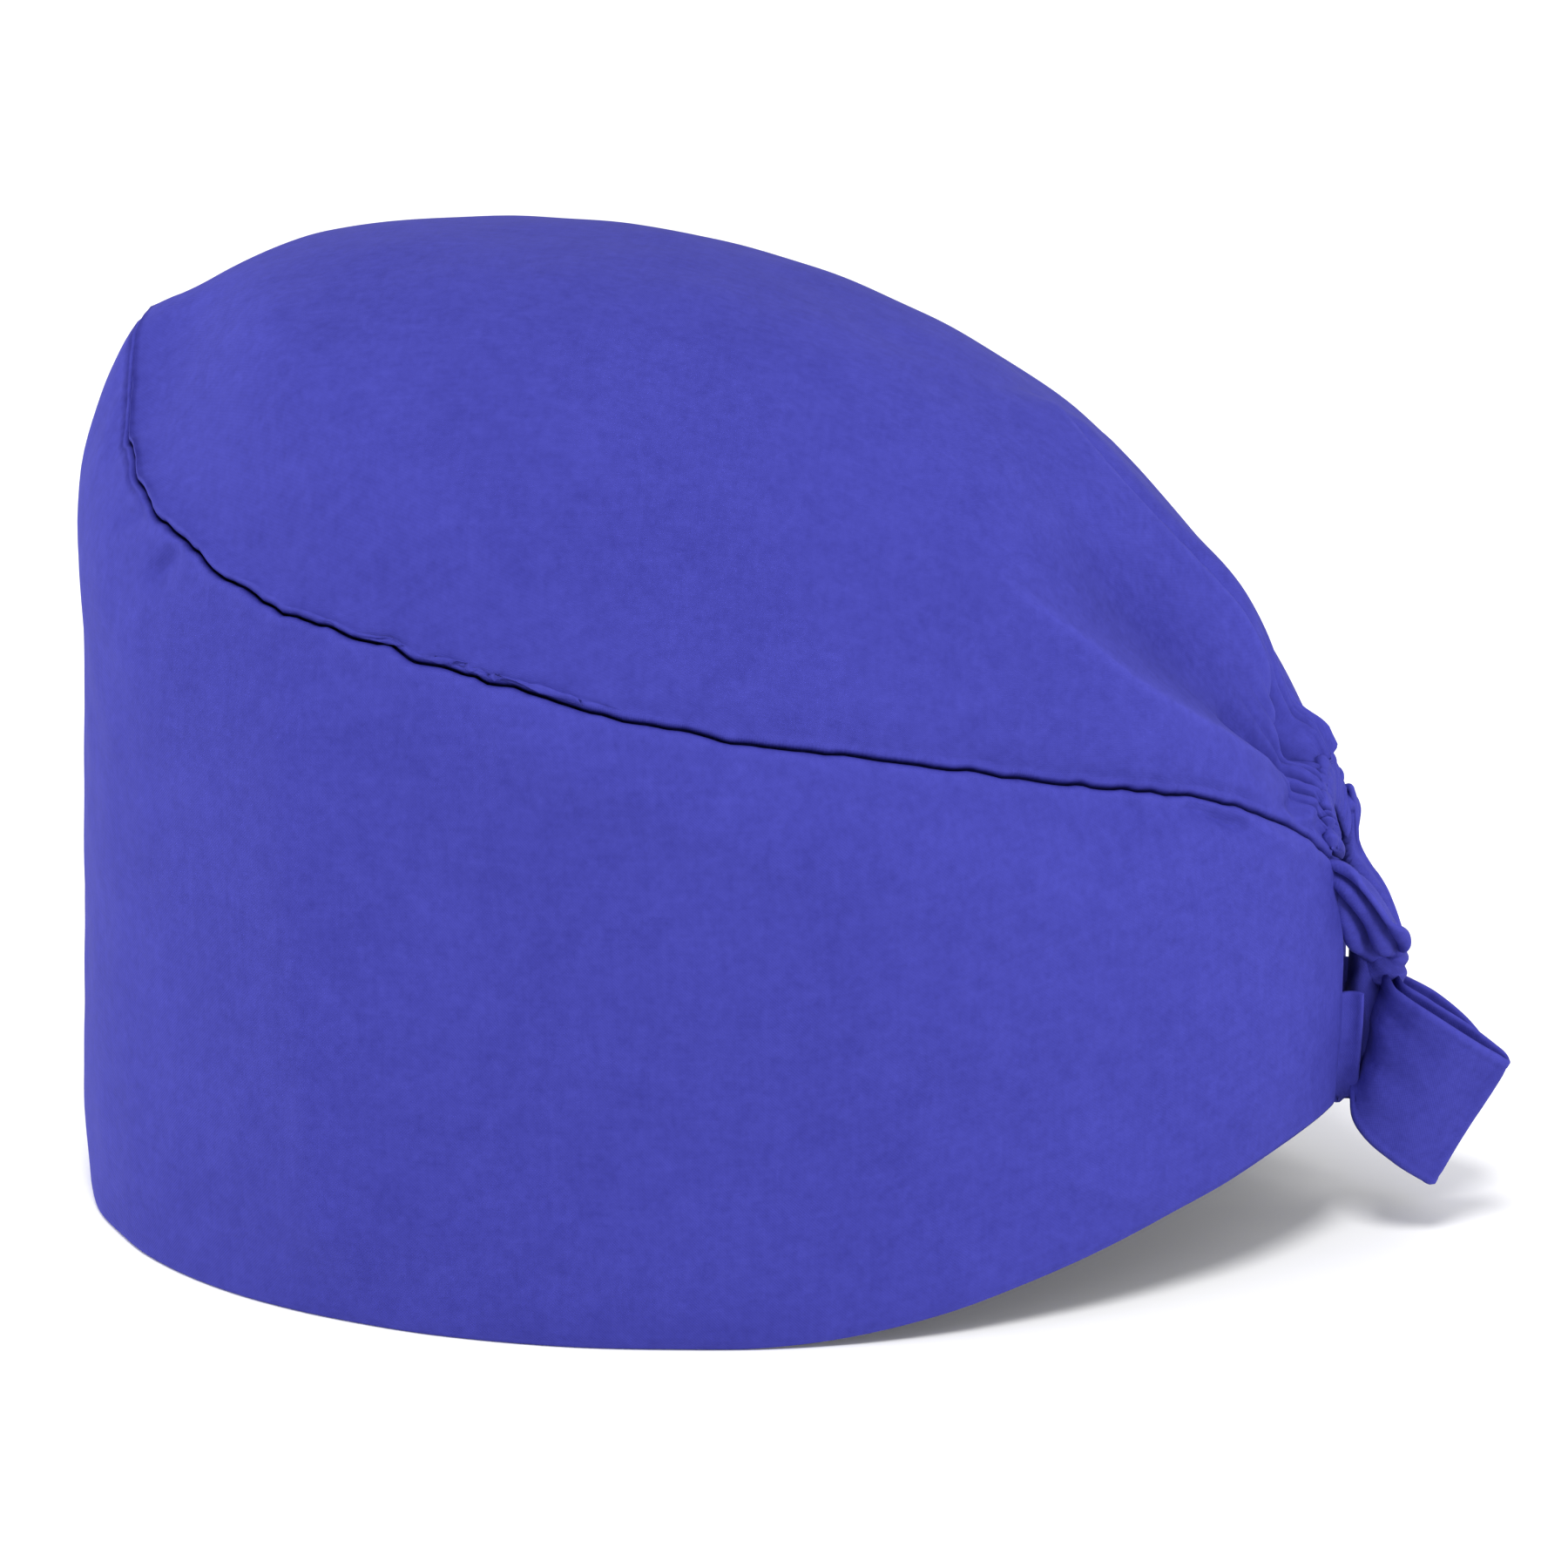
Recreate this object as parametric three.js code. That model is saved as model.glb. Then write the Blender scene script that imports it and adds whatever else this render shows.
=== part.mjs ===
// A tie-back scrub cap, standing on its rim as it does on a table.
//
// The cap is sewn from two panels of thin cotton. A deep side band wraps the forehead and the
// sides and stops either side of an opening at the nape. An egg-shaped crown panel is sewn into
// the band's top edge, and its back edge is gathered into a short casing. A tie runs through the
// casing, comes out at both of its ends and is tied in a bow under it.
//
// Frame, in millimetres: the origin is the middle of the head opening, at the height of the
// surface that the rim rests on. +Z is up, the forehead is towards -X, the bow is towards +X and
// the wearer's left is towards -Y.

import * as THREE from "three";
import { mergeVertices } from "three/addons/utils/BufferGeometryUtils.js";

// Cloth, and the gap kept between pieces that are sewn or tied together
const clothWall = 1.2;
const strapWall = 1.4;
const seamGap = 0.3;
const clothBlue = 0x4a4ab8;

// Rim, the lower edge of the side band: how far it reaches in front, how wide it is and where along
// X, and the nape, where it lifts off the table and stops either side of an opening. The lift
// starts at a share of the way from the widest place to the nape.
const rimFront = 107.5;
const rimWidth = 159;
const rimWidest = -12;
const napeLift = 23;
const liftStart = 0.15;
const napeEdge = 107;
const napeOpening = 22;

// Seam between the band and the crown, with its two back corners above the opening
const seamFront = 96;
const seamWidth = 143;
const seamWidest = -18;
const seamFrontHeight = 150;
const seamSideHeight = 108;
const cornerBack = 106;
const cornerSpread = 26;
const cornerHeight = 68;

// Slack in the band: how far it swells between rim and seam, and how deep its dents are. Slack
// dies out towards a sewn edge as a power of the way there, in the crown too.
const bandBulge = 1.6;
const dentDepth = 1;
const slackPower = 6;

// Crown, and the casing on its gathered back edge, an arch over the opening. The arch stands this
// far forward of the corners and above them, and the casing covers a share of it.
const domeRise = 48;
const foldDepth = 2.5;
const archForward = 3;
const archRise = 12;
const gatherCount = 7;
const gatherDepth = 1.3;
const casingWidth = 8;
const casingLean = 2;
const casingThick = 2.4;
const casingCentreDrop = 6;
const casingReach = 0.95;

// Bow, whose knot hangs behind and below the corners
const tieWidth = 25;
const knotBehind = 7.5;
const knotDrop = 24;
const knotThick = 8;
const knotWide = 10;
const knotTall = 12;
const leftLoopLength = 30;
const rightLoopLength = 24;
const rightLoopDrop = 9;
const loopGap = 2.6;
const loopFold = 3.4;
const endLength = 20;
const knotMiddle = new THREE.Vector3(cornerBack + knotBehind, 0, cornerHeight - knotDrop);

// How full the rings are in front and how much they taper behind: the share that they lie beyond
// an ellipse, or inside it, half way round the corner.
const rimFullness = 0.01;
const seamFullness = 0.06;
const backTaper = 0.03;

// A quarter turn: an arch runs this far from its top to either side.
const quarter = Math.PI / 2;

// Height of the seam in front, where reach goes from the widest point (0) to the forehead (1), as
// a share of the climb between the two.
const seamClimbs = [
  { reach: 0, height: 0 },
  { reach: 0.28, height: 0.13 },
  { reach: 0.52, height: 0.24 },
  { reach: 0.72, height: 0.37 },
  { reach: 0.88, height: 0.51 },
  { reach: 0.96, height: 0.65 },
  { reach: 0.99, height: 0.83 },
  { reach: 1, height: 1 },
];

// Height of the seam behind, where along goes from the back corner (0) to the widest point (1),
// as a share of the climb between the two.
const seamDrops = [
  { along: 0, height: 0 },
  { along: 0.09, height: 0.17 },
  { along: 0.27, height: 0.42 },
  { along: 0.5, height: 0.59 },
  { along: 0.76, height: 0.78 },
  { along: 1, height: 1 },
];

// The crown's middle line from the front seam to the gathers. Reach is the share of the way back,
// rise is the share of domeRise above a straight line, and fullness squares the section's
// shoulders: 1 is an ellipse, less is fuller.
const ridgeRows = [
  { along: 0, reach: 0, rise: 0, fullness: 1 },
  { along: 0.08, reach: 0.035, rise: 0.2, fullness: 0.85 },
  { along: 0.2, reach: 0.11, rise: 0.52, fullness: 0.74 },
  { along: 0.35, reach: 0.265, rise: 0.83, fullness: 0.7 },
  { along: 0.5, reach: 0.459, rise: 1, fullness: 0.72 },
  { along: 0.65, reach: 0.649, rise: 0.97, fullness: 0.72 },
  { along: 0.8, reach: 0.806, rise: 0.75, fullness: 0.77 },
  { along: 0.9, reach: 0.915, rise: 0.43, fullness: 0.86 },
  { along: 0.96, reach: 0.972, rise: 0.15, fullness: 0.95 },
  { along: 1, reach: 1, rise: 0, fullness: 1 },
];

// The band's wall round the cap, from the front (turn 0) to the back corner (turn 1). Shoulder is
// the share of the height where the wall starts to lean in to the seam, and bulge is the share of
// bandBulge that it swells out there.
const bandRows = [
  { turn: 0, shoulder: 0.82, bulge: 0.4 },
  { turn: 0.25, shoulder: 0.77, bulge: 0.6 },
  { turn: 0.5, shoulder: 0.6, bulge: 1 },
  { turn: 0.75, shoulder: 0.45, bulge: 1 },
  { turn: 1, shoulder: 0.35, bulge: 0.5 },
];

// Long folds in the crown that run into the gathers. Across is the place on the arch, from the
// left seam (-1) to the right (1); starts is where the fold begins on the way back; depth is a
// share of foldDepth, less than nothing where the cloth sinks in.
const crownFolds = [
  { across: -0.5, starts: 0.62, width: 0.13, depth: 1 },
  { across: -0.26, starts: 0.66, width: 0.16, depth: -1.05 },
  { across: -0.02, starts: 0.55, width: 0.07, depth: 0.75 },
  { across: 0.14, starts: 0.55, width: 0.07, depth: 0.65 },
  { across: 0.34, starts: 0.64, width: 0.16, depth: -1 },
  { across: 0.58, starts: 0.6, width: 0.13, depth: 0.9 },
];

// Shallow dents and swells of the band. Turn runs from the left corner (-1) over the front (0) to
// the right corner (1), height from rim (0) to seam (1); depth is outward, a share of dentDepth.
const bandDents = [
  { turn: -0.36, height: 0.4, wide: 0.07, tall: 0.6, depth: 0.9 },
  { turn: -0.52, height: 0.66, wide: 0.1, tall: 0.2, depth: -1.1 },
  { turn: -0.72, height: 0.35, wide: 0.12, tall: 0.3, depth: -0.9 },
  { turn: 0.4, height: 0.4, wide: 0.07, tall: 0.6, depth: 0.9 },
  { turn: 0.62, height: 0.6, wide: 0.12, tall: 0.24, depth: -1 },
];

// Sections of a loop of the bow, from the knot out to the fold at its tip. Back, out and down are
// shares of the loop's length from the knot's side, width is a share of the tie's, gap is the share
// of loopGap between the loop's two layers, and lean tips the width back from upright, in degrees.
const loopRows = [
  { along: 0, back: -0.02, out: 0, down: 0.09, width: 0.36, gap: 0, lean: 10 },
  { along: 0.16, back: -0.02, out: 0.02, down: 0.18, width: 0.6, gap: 0.2, lean: 18 },
  { along: 0.34, back: 0.05, out: 0.05, down: 0.33, width: 0.82, gap: 0.7, lean: 24 },
  { along: 0.52, back: 0.15, out: 0.06, down: 0.45, width: 0.96, gap: 1, lean: 26 },
  { along: 0.76, back: 0.32, out: 0.06, down: 0.6, width: 1, gap: 0.85, lean: 26 },
  { along: 1, back: 0.485, out: 0.03, down: 0.75, width: 1, gap: 0, lean: 26 },
];

const mix = (a, b, share) => a + (b - a) * share;

const clamp01 = (t) => Math.min(1, Math.max(0, t));

const clampTo = (t, limit) => Math.min(limit, Math.max(-limit, t));

const smooth = (t) => clamp01(t) ** 2 * (3 - 2 * clamp01(t));

const bump = (t) => Math.exp(-t * t);

// A smooth curve through one column of a table, read at a place in its first column.
function readTable(rows, place, column) {
  const key = Object.keys(rows[0])[0];
  const last = rows.length - 2;
  let i = 0;
  while (i < last && place > rows[i + 1][key]) i += 1;
  const slopeAt = (k) => {
    const before = rows[Math.max(0, k - 1)];
    const after = rows[Math.min(rows.length - 1, k + 1)];
    return (after[column] - before[column]) / (after[key] - before[key]);
  };
  const span = rows[i + 1][key] - rows[i][key];
  const t = clamp01((place - rows[i][key]) / span);
  const low = rows[i][column];
  const high = rows[i + 1][column];
  const startSlope = slopeAt(i) * span;
  const endSlope = slopeAt(i + 1) * span;
  return (
    low * (1 + 2 * t) * (1 - t) ** 2 +
    startSlope * t * (1 - t) ** 2 +
    high * t * t * (3 - 2 * t) +
    endSlope * t * t * (t - 1)
  );
}

// A quarter of a slightly squared ellipse: rise goes from 1 to 0 and side from 0 to 1.
function archAt(angle, fullness) {
  const fuller = 1 + fullness * Math.sin(2 * angle) ** 2;
  return { rise: Math.abs(Math.cos(angle)) * fuller, side: Math.sin(angle) * fuller };
}

// A ring that is half of one ellipse in front of its widest place and half of a longer one
// behind it, stopped where it is half of an opening wide. Turn is -1 to 1, with 0 at the front.
function ringAt(turn, ring) {
  const halfWidth = ring.width / 2;
  const stop = Math.PI - Math.asin(ring.opening / 2 / halfWidth);
  const angle = Math.abs(turn) * stop;
  const sign = Math.sign(turn);
  if (angle <= quarter) {
    const arch = archAt(angle, ring.fullness);
    const x = ring.widest - (ring.front + ring.widest) * arch.rise;
    return { x, y: sign * halfWidth * arch.side, rise: arch.rise, along: 0 };
  }
  const arch = archAt(Math.PI - angle, -backTaper);
  const end = archAt(Math.PI - stop, -backTaper);
  const x = ring.widest + (ring.back - ring.widest) * (arch.rise / end.rise);
  const y = sign * halfWidth * arch.side;
  return { x, y, rise: 0, along: (angle - quarter) / (stop - quarter) };
}

const rimRing = {
  front: rimFront,
  widest: rimWidest,
  width: rimWidth,
  back: napeEdge,
  opening: napeOpening,
  fullness: rimFullness,
};

const seamRing = {
  front: seamFront,
  widest: seamWidest,
  width: seamWidth,
  back: cornerBack,
  opening: cornerSpread,
  fullness: seamFullness,
};

// The lower edge lies flat on the table and lifts towards the nape.
function rimPoint(turn) {
  const at = ringAt(turn, rimRing);
  const lifted = smooth((at.along - liftStart) / (1 - liftStart));
  return new THREE.Vector3(at.x, at.y, napeLift * lifted);
}

// The seam falls fast beside the forehead, slowly along the side, and fast again to the corner.
function seamPoint(turn) {
  const at = ringAt(turn, seamRing);
  const climb = readTable(seamClimbs, at.rise, "height");
  const drop = readTable(seamDrops, 1 - at.along, "height");
  const z =
    at.along > 0
      ? mix(cornerHeight, seamSideHeight, drop)
      : mix(seamSideHeight, seamFrontHeight, climb);
  return new THREE.Vector3(at.x, at.y, z);
}

// The turn where a ring is widest.
const widestTurn = quarter / (Math.PI - Math.asin(cornerSpread / seamWidth));

// The direction from outside to inside that both panels' edges share at the seam, so that they
// meet face to face.
function seamInward(turn) {
  const step = 1e-3;
  const before = seamPoint(Math.max(-1, turn - step));
  const after = seamPoint(Math.min(1, turn + step));
  const tangent = after.sub(before).normalize();
  const outward = new THREE.Vector3(0, 0, 1).cross(tangent).normalize();
  const dip = 0.75;
  return outward.multiplyScalar(-1).add(new THREE.Vector3(0, 0, -dip)).normalize();
}

// The side of a surface that faces away from the cap, from two small steps on it.
function outwardNormal(surface, a, b) {
  const step = 1e-3;
  const alongA = surface(a + step, b).sub(surface(a - step, b));
  const alongB = surface(a, b + step).sub(surface(a, b - step));
  return alongA.cross(alongB).normalize();
}

// A closed body between two grids of points that match one for one. The first grid is the side
// that the rows and then the columns turn towards, as in a right-handed screw.
function closeBetween(faceGrid, backGrid) {
  const rows = faceGrid.length;
  const columns = faceGrid[0].length;
  const points = [...faceGrid.flat(), ...backGrid.flat()];
  const face = (i, j) => i * columns + j;
  const back = (i, j) => rows * columns + face(i, j);
  const triangles = [];
  const quad = (a, b, c, d) => triangles.push(a, b, c, a, c, d);
  for (let i = 0; i + 1 < rows; i += 1) {
    for (let j = 0; j + 1 < columns; j += 1) {
      quad(face(i, j), face(i + 1, j), face(i + 1, j + 1), face(i, j + 1));
      quad(back(i, j), back(i, j + 1), back(i + 1, j + 1), back(i + 1, j));
    }
    quad(face(i + 1, 0), face(i, 0), back(i, 0), back(i + 1, 0));
    const j = columns - 1;
    quad(face(i, j), face(i + 1, j), back(i + 1, j), back(i, j));
  }
  for (let j = 0; j + 1 < columns; j += 1) {
    quad(face(0, j), face(0, j + 1), back(0, j + 1), back(0, j));
    const i = rows - 1;
    quad(face(i, j + 1), face(i, j), back(i, j), back(i, j + 1));
  }
  const geometry = new THREE.BufferGeometry();
  geometry.setAttribute(
    "position",
    new THREE.Float32BufferAttribute(points.flatMap((p) => [p.x, p.y, p.z]), 3),
  );
  geometry.setIndex(triangles);
  geometry.computeVertexNormals();
  return geometry;
}

function gridOf(rowCount, columnCount, pointAt) {
  return Array.from({ length: rowCount + 1 }, (_, i) =>
    Array.from({ length: columnCount + 1 }, (_, j) => pointAt(i / rowCount, j / columnCount)),
  );
}

function clothMesh(name, geometry) {
  const material = new THREE.MeshStandardMaterial({
    color: clothBlue,
    roughness: 0.85,
    metalness: 0,
    side: THREE.DoubleSide,
  });
  const mesh = new THREE.Mesh(geometry, material);
  mesh.name = name;
  return mesh;
}

// Outer face of the band at a turn round the cap and a share of its height.
function bandSurface(turn, height) {
  const rim = rimPoint(turn);
  const seam = seamPoint(turn);
  const shoulder = readTable(bandRows, Math.abs(turn), "shoulder");
  const bulge = bandBulge * readTable(bandRows, Math.abs(turn), "bulge");
  const leanCurve = 2;
  const lean = clamp01((height - shoulder) / (1 - shoulder)) ** leanCurve;
  const inward = seamInward(turn).setZ(0).normalize();
  const dent = bandDents.reduce((sum, d) => {
    const near = bump((turn - d.turn) / d.wide) * bump((height - d.height) / d.tall);
    return sum + dentDepth * d.depth * near;
  }, 0);
  const out = (bulge + dent) * (1 - (2 * height - 1) ** slackPower);
  return new THREE.Vector3(
    mix(rim.x, seam.x, lean) - inward.x * out,
    mix(rim.y, seam.y, lean) - inward.y * out,
    mix(rim.z, seam.z, height),
  );
}

function bandNormal(turn, height) {
  const margin = 0.002;
  const t = clampTo(turn, 1 - margin);
  const h = Math.min(1 - margin, Math.max(margin, height));
  return outwardNormal((a, b) => bandSurface(b, a), h, t);
}

// Side band: one strip of cloth round the forehead and sides. Near the seam its wall turns to the
// direction that the crown's edge shares, and at the rim it is cut level to stand on.
function makeSideBand() {
  const rowCount = 9;
  const columnCount = 68;
  const turnsFrom = 0.7;
  const turnAt = (u) => mix(-1, 1, u);
  const outer = gridOf(rowCount, columnCount, (v, u) => bandSurface(turnAt(u), v));
  const inner = gridOf(rowCount, columnCount, (v, u) => {
    const turn = turnAt(u);
    const inward = bandNormal(turn, v).negate();
    if (v === 0) inward.setZ(0).normalize();
    inward.lerp(seamInward(turn), smooth((v - turnsFrom) / (1 - turnsFrom))).normalize();
    return bandSurface(turn, v).addScaledVector(inward, clothWall);
  });
  return clothMesh("side_band", closeBetween(outer, inner));
}

// Smooth form of the crown without folds. Along runs from the front seam to the gathered edge
// and across from the left seam (-1) to the right (1).
function crownForm(along, across) {
  const arch = archAt(across * quarter, seamFullness);
  const edge = seamPoint(mix(widestTurn, 1, along));
  const reach = readTable(ridgeRows, along, "reach");
  const rise = readTable(ridgeRows, along, "rise");
  const fullness = readTable(ridgeRows, along, "fullness");
  const ridgeX = mix(-seamFront, cornerBack - archForward, reach);
  const ridgeZ = mix(seamFrontHeight, cornerHeight + archRise, along) + domeRise * rise;
  const sewnFront = 0.22;
  const sewn = readTable(seamClimbs, arch.rise, "height");
  const climb = mix(sewn, arch.rise ** fullness, smooth(along / sewnFront));
  return new THREE.Vector3(
    mix(edge.x, ridgeX, arch.rise),
    edge.y * arch.side,
    mix(edge.z, ridgeZ, climb),
  );
}

// The even gathers along the arch, which die out at its sewn ends.
function crownGathers(across) {
  return (1 - across ** slackPower) * Math.cos(across * gatherCount * Math.PI);
}

// How far the folded cloth stands off the smooth form: long folds that grow towards the back, and
// short gathers beside the casing.
function crownFold(along, across) {
  const slack = 1 - across ** slackPower;
  const grownBy = 0.95;
  const gatheredFrom = 0.86;
  const gatheredBy = 0.98;
  const long = crownFolds.reduce((sum, f) => {
    const grown = smooth((along - f.starts) / (grownBy - f.starts));
    return sum + foldDepth * f.depth * grown * bump((across - f.across) / f.width);
  }, 0);
  const gathered = smooth((along - gatheredFrom) / (gatheredBy - gatheredFrom));
  return slack * long * (1 - gathered) + gatherDepth * gathered * crownGathers(across);
}

// The crown's form is steep at its sewn edges, so its normal is read a little way in from them.
function crownNormal(along, across) {
  const margin = 0.004;
  const sideMargin = 0.02;
  const a = Math.min(1 - margin, Math.max(margin, along));
  return outwardNormal(crownForm, a, clampTo(across, 1 - sideMargin));
}

// Outer face of the crown, lifted off the band by the gap at the seam.
function crownSurface(along, across) {
  const fold = crownFold(along, across);
  const point = crownForm(along, across).addScaledVector(crownNormal(along, across), fold);
  return point.setZ(point.z + seamGap);
}

// How far the crown's wall has turned to the direction it shares with the band: fully at the sewn
// edges, and not at all beyond a hem along the front and the sides.
function sewnShare(along, across) {
  const frontHem = 0.1;
  const sideHem = 0.15;
  return smooth(Math.max(1 - along / frontHem, 1 - (1 - Math.abs(across)) / sideHem));
}

// The turn on the seam ring that is nearest to a place on the crown.
function sewnTurn(along, across) {
  const atSide = 1 - Math.abs(across) < along;
  return atSide ? Math.sign(across) * mix(widestTurn, 1, along) : widestTurn * across;
}

// Crown: one panel, whose wall turns to the band's near the edges that are sewn to it.
function makeCrown() {
  const rowCount = 26;
  const columnCount = 44;
  const acrossAt = (u) => mix(-1, 1, u);
  const outer = gridOf(rowCount, columnCount, (s, u) => crownSurface(s, acrossAt(u)));
  const inner = gridOf(rowCount, columnCount, (s, u) => {
    const across = acrossAt(u);
    const inward = crownNormal(s, across).negate();
    inward.lerp(seamInward(sewnTurn(s, across)), sewnShare(s, across)).normalize();
    return crownSurface(s, across).addScaledVector(inward, clothWall);
  });
  return clothMesh("crown", closeBetween(outer, inner));
}

// Outer face of the casing, from the crown's gathered edge (width 0) in towards the middle of the
// opening and a little back (width 1). Its gathers fade to a share of the crown's on the way, and
// it keeps clear of the crown's wall, which is square to the edge only at the arch's two ends.
function casingSurface(width, across) {
  const gatherShare = 0.35;
  const gathers = gatherDepth * crownGathers(across) * mix(1, gatherShare, width);
  const edge = crownForm(1, across).addScaledVector(crownNormal(1, across), gathers);
  const toMiddle = new THREE.Vector3(0, -edge.y, cornerHeight - casingCentreDrop - edge.z);
  const clear = seamGap + clothWall * mix(0.6, 1, across ** 8);
  edge.addScaledVector(toMiddle.normalize(), clear + casingWidth * width);
  return edge.setX(edge.x + casingThick / 4 + casingLean * width);
}

// Casing: a padded strip that is thickest along its middle, where the tie runs.
function makeCasing() {
  const rowCount = 4;
  const columnCount = 36;
  const edgeShare = 0.7;
  const outer = gridOf(rowCount, columnCount, (v, u) =>
    casingSurface(v, mix(-casingReach, casingReach, u)),
  );
  const inner = outer.map((row, i) => {
    const wall = casingThick * mix(edgeShare, 1, Math.sin((Math.PI * i) / rowCount));
    return row.map((p) => p.clone().setX(p.x - wall));
  });
  return clothMesh("casing", closeBetween(outer, inner));
}

// A flat strap whose sections are centres with a direction across it. The ripple moves its
// cloth off the flat, given a place along and across.
function makeStrap(name, sections, columnCount, ripple = () => 0) {
  const last = sections.length - 1;
  const columns = Array.from({ length: columnCount + 1 }, (_, j) => j / columnCount);
  const offsetGrid = (offset) =>
    sections.map((s, i) => {
      const ahead = sections[Math.min(last, i + 1)].centre;
      const behind = sections[Math.max(0, i - 1)].centre;
      const out = s.across.clone().cross(ahead.clone().sub(behind)).normalize();
      return columns.map((t) => {
        const point = s.centre.clone().addScaledVector(s.across, (t - 0.5) * s.width);
        return point.addScaledVector(out, offset + ripple(i / last, t));
      });
    });
  return clothMesh(name, closeBetween(offsetGrid(-strapWall / 2), offsetGrid(strapWall / 2)));
}

// Short stretch of the tie from an end of the casing to the knot. It leaves the casing flat and
// bunched up, sags, and twists a quarter turn on the way down.
function makeTie(name, side) {
  const steps = 7;
  const sag = 0.9;
  const swing = 1.2;
  const crease = 0.5;
  const bunchAtMouth = 0.28;
  const bunchAtKnot = 0.32;
  const besideMiddle = 0.24;
  const start = casingSurface(0.5, side * casingReach);
  start.x -= casingThick / 2;
  start.z = casingSurface(1, side * casingReach).z - 1.5 * seamGap;
  const finish = knotMiddle.clone();
  finish.y += side * knotWide * besideMiddle;
  finish.z += knotTall / 2 + 2 * seamGap;
  const sections = Array.from({ length: steps + 1 }, (_, i) => {
    const t = i / steps;
    const twist = quarter * smooth(t);
    const halfWay = Math.sin(Math.PI * t);
    const centre = start.clone().lerp(finish, t);
    centre.x += sag * halfWay;
    centre.y += side * swing * halfWay;
    const flat = new THREE.Vector3(0, -side, 0).multiplyScalar(Math.cos(twist));
    const turned = new THREE.Vector3(0.9, 0, 0.4).multiplyScalar(Math.sin(twist));
    const across = flat.add(turned).normalize();
    return { centre, across, width: tieWidth * mix(bunchAtMouth, bunchAtKnot, t) };
  });
  return makeStrap(name, sections, 4, (along, across) => {
    return crease * Math.sin(Math.PI * along) * Math.cos(3 * Math.PI * across);
  });
}

// The knot is the tie wrapped once round itself: a bunched lump with slanting folds.
function makeKnot() {
  const lump = new THREE.SphereGeometry(0.5, 22, 14);
  const position = lump.getAttribute("position");
  const foldCount = 3;
  const foldShare = 0.06;
  const slant = 4;
  for (let i = 0; i < position.count; i += 1) {
    const p = new THREE.Vector3().fromBufferAttribute(position, i);
    const folds = Math.cos(foldCount * (Math.atan2(p.y, p.x) + slant * p.z));
    const tapered = 1 - (2 * Math.abs(p.z)) ** 4;
    p.multiplyScalar(1 + foldShare * folds * tapered);
    p.multiply(new THREE.Vector3(knotThick, knotWide, knotTall)).add(knotMiddle);
    position.setXYZ(i, p.x, p.y, p.z);
  }
  lump.deleteAttribute("normal");
  lump.deleteAttribute("uv");
  const geometry = mergeVertices(lump);
  geometry.computeVertexNormals();
  return clothMesh("knot", geometry);
}

// A bow loop goes out along the table's sections, turns round its tip and comes back inside, a
// gap away. Its tip hangs lower than the table says by the drop.
function makeLoop(name, side, length, drop) {
  const stepCount = 12;
  const tipCount = 5;
  const layerPitch = strapWall + 2 * seamGap;
  const rootOut = knotWide / 2 + 2 * seamGap + strapWall / 2 + layerPitch;
  const sectionAt = (along, inset) => {
    const read = (column) => readTable(loopRows, along, column);
    const lean = THREE.MathUtils.degToRad(read("lean"));
    const open = inset === 0 ? loopGap * read("gap") : 0;
    const centre = knotMiddle.clone();
    centre.x += length * read("back");
    centre.y += side * (rootOut + length * read("out") + open - inset);
    centre.z -= length * read("down") + drop * Math.sin(quarter * along);
    const across = new THREE.Vector3(Math.sin(lean), 0, Math.cos(lean));
    return { centre, across, width: tieWidth * read("width") };
  };
  const sections = [];
  for (let i = 0; i <= stepCount; i += 1) sections.push(sectionAt(i / stepCount, 0));
  const ahead = sectionAt(1, 0).centre.sub(sectionAt(0.95, 0).centre).setY(0).normalize();
  for (let i = 1; i < tipCount; i += 1) {
    const turn = (i / tipCount) * Math.PI;
    const section = sectionAt(1, (loopFold / 2) * (1 - Math.cos(turn)));
    section.centre.addScaledVector(ahead, (loopFold / 2) * Math.sin(turn));
    sections.push(section);
  }
  for (let i = stepCount; i >= 0; i -= 1) {
    const along = i / stepCount;
    sections.push(sectionAt(along, mix(layerPitch, loopFold, smooth(along))));
  }
  return makeStrap(name, side < 0 ? sections : sections.reverse(), 6);
}

// A short end of the tie hangs from the knot between the loops, edge on to them, and spreads from
// the knot's bunch to a fold of the tie.
function makeEnd(name, side) {
  const steps = 7;
  const bunched = 0.2;
  const folded = 0.34;
  const spreadOver = 0.6;
  const top = knotMiddle.z - knotTall / 2 - seamGap;
  const sections = Array.from({ length: steps + 1 }, (_, i) => {
    const t = i / steps;
    const y = side * mix(strapWall, 1.7 * strapWall, t);
    const centre = new THREE.Vector3(knotMiddle.x, y, top - endLength * t);
    const across = new THREE.Vector3(1, 0, 0);
    return { centre, across, width: tieWidth * mix(bunched, folded, smooth(t / spreadOver)) };
  });
  return makeStrap(name, sections, 4);
}

const cap = new THREE.Group();
cap.name = "scrub_cap";
cap.add(makeSideBand());
cap.add(makeCrown());
cap.add(makeCasing());
cap.add(makeTie("tie_left", -1));
cap.add(makeTie("tie_right", 1));
cap.add(makeKnot());
cap.add(makeLoop("loop_left", -1, leftLoopLength, 0));
cap.add(makeLoop("loop_right", 1, rightLoopLength, rightLoopDrop));
cap.add(makeEnd("tie_end_left", -1));
cap.add(makeEnd("tie_end_right", 1));

export default cap;
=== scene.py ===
"""A tie-back scrub cap of plain blue cotton, standing empty on its rim."""

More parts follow.
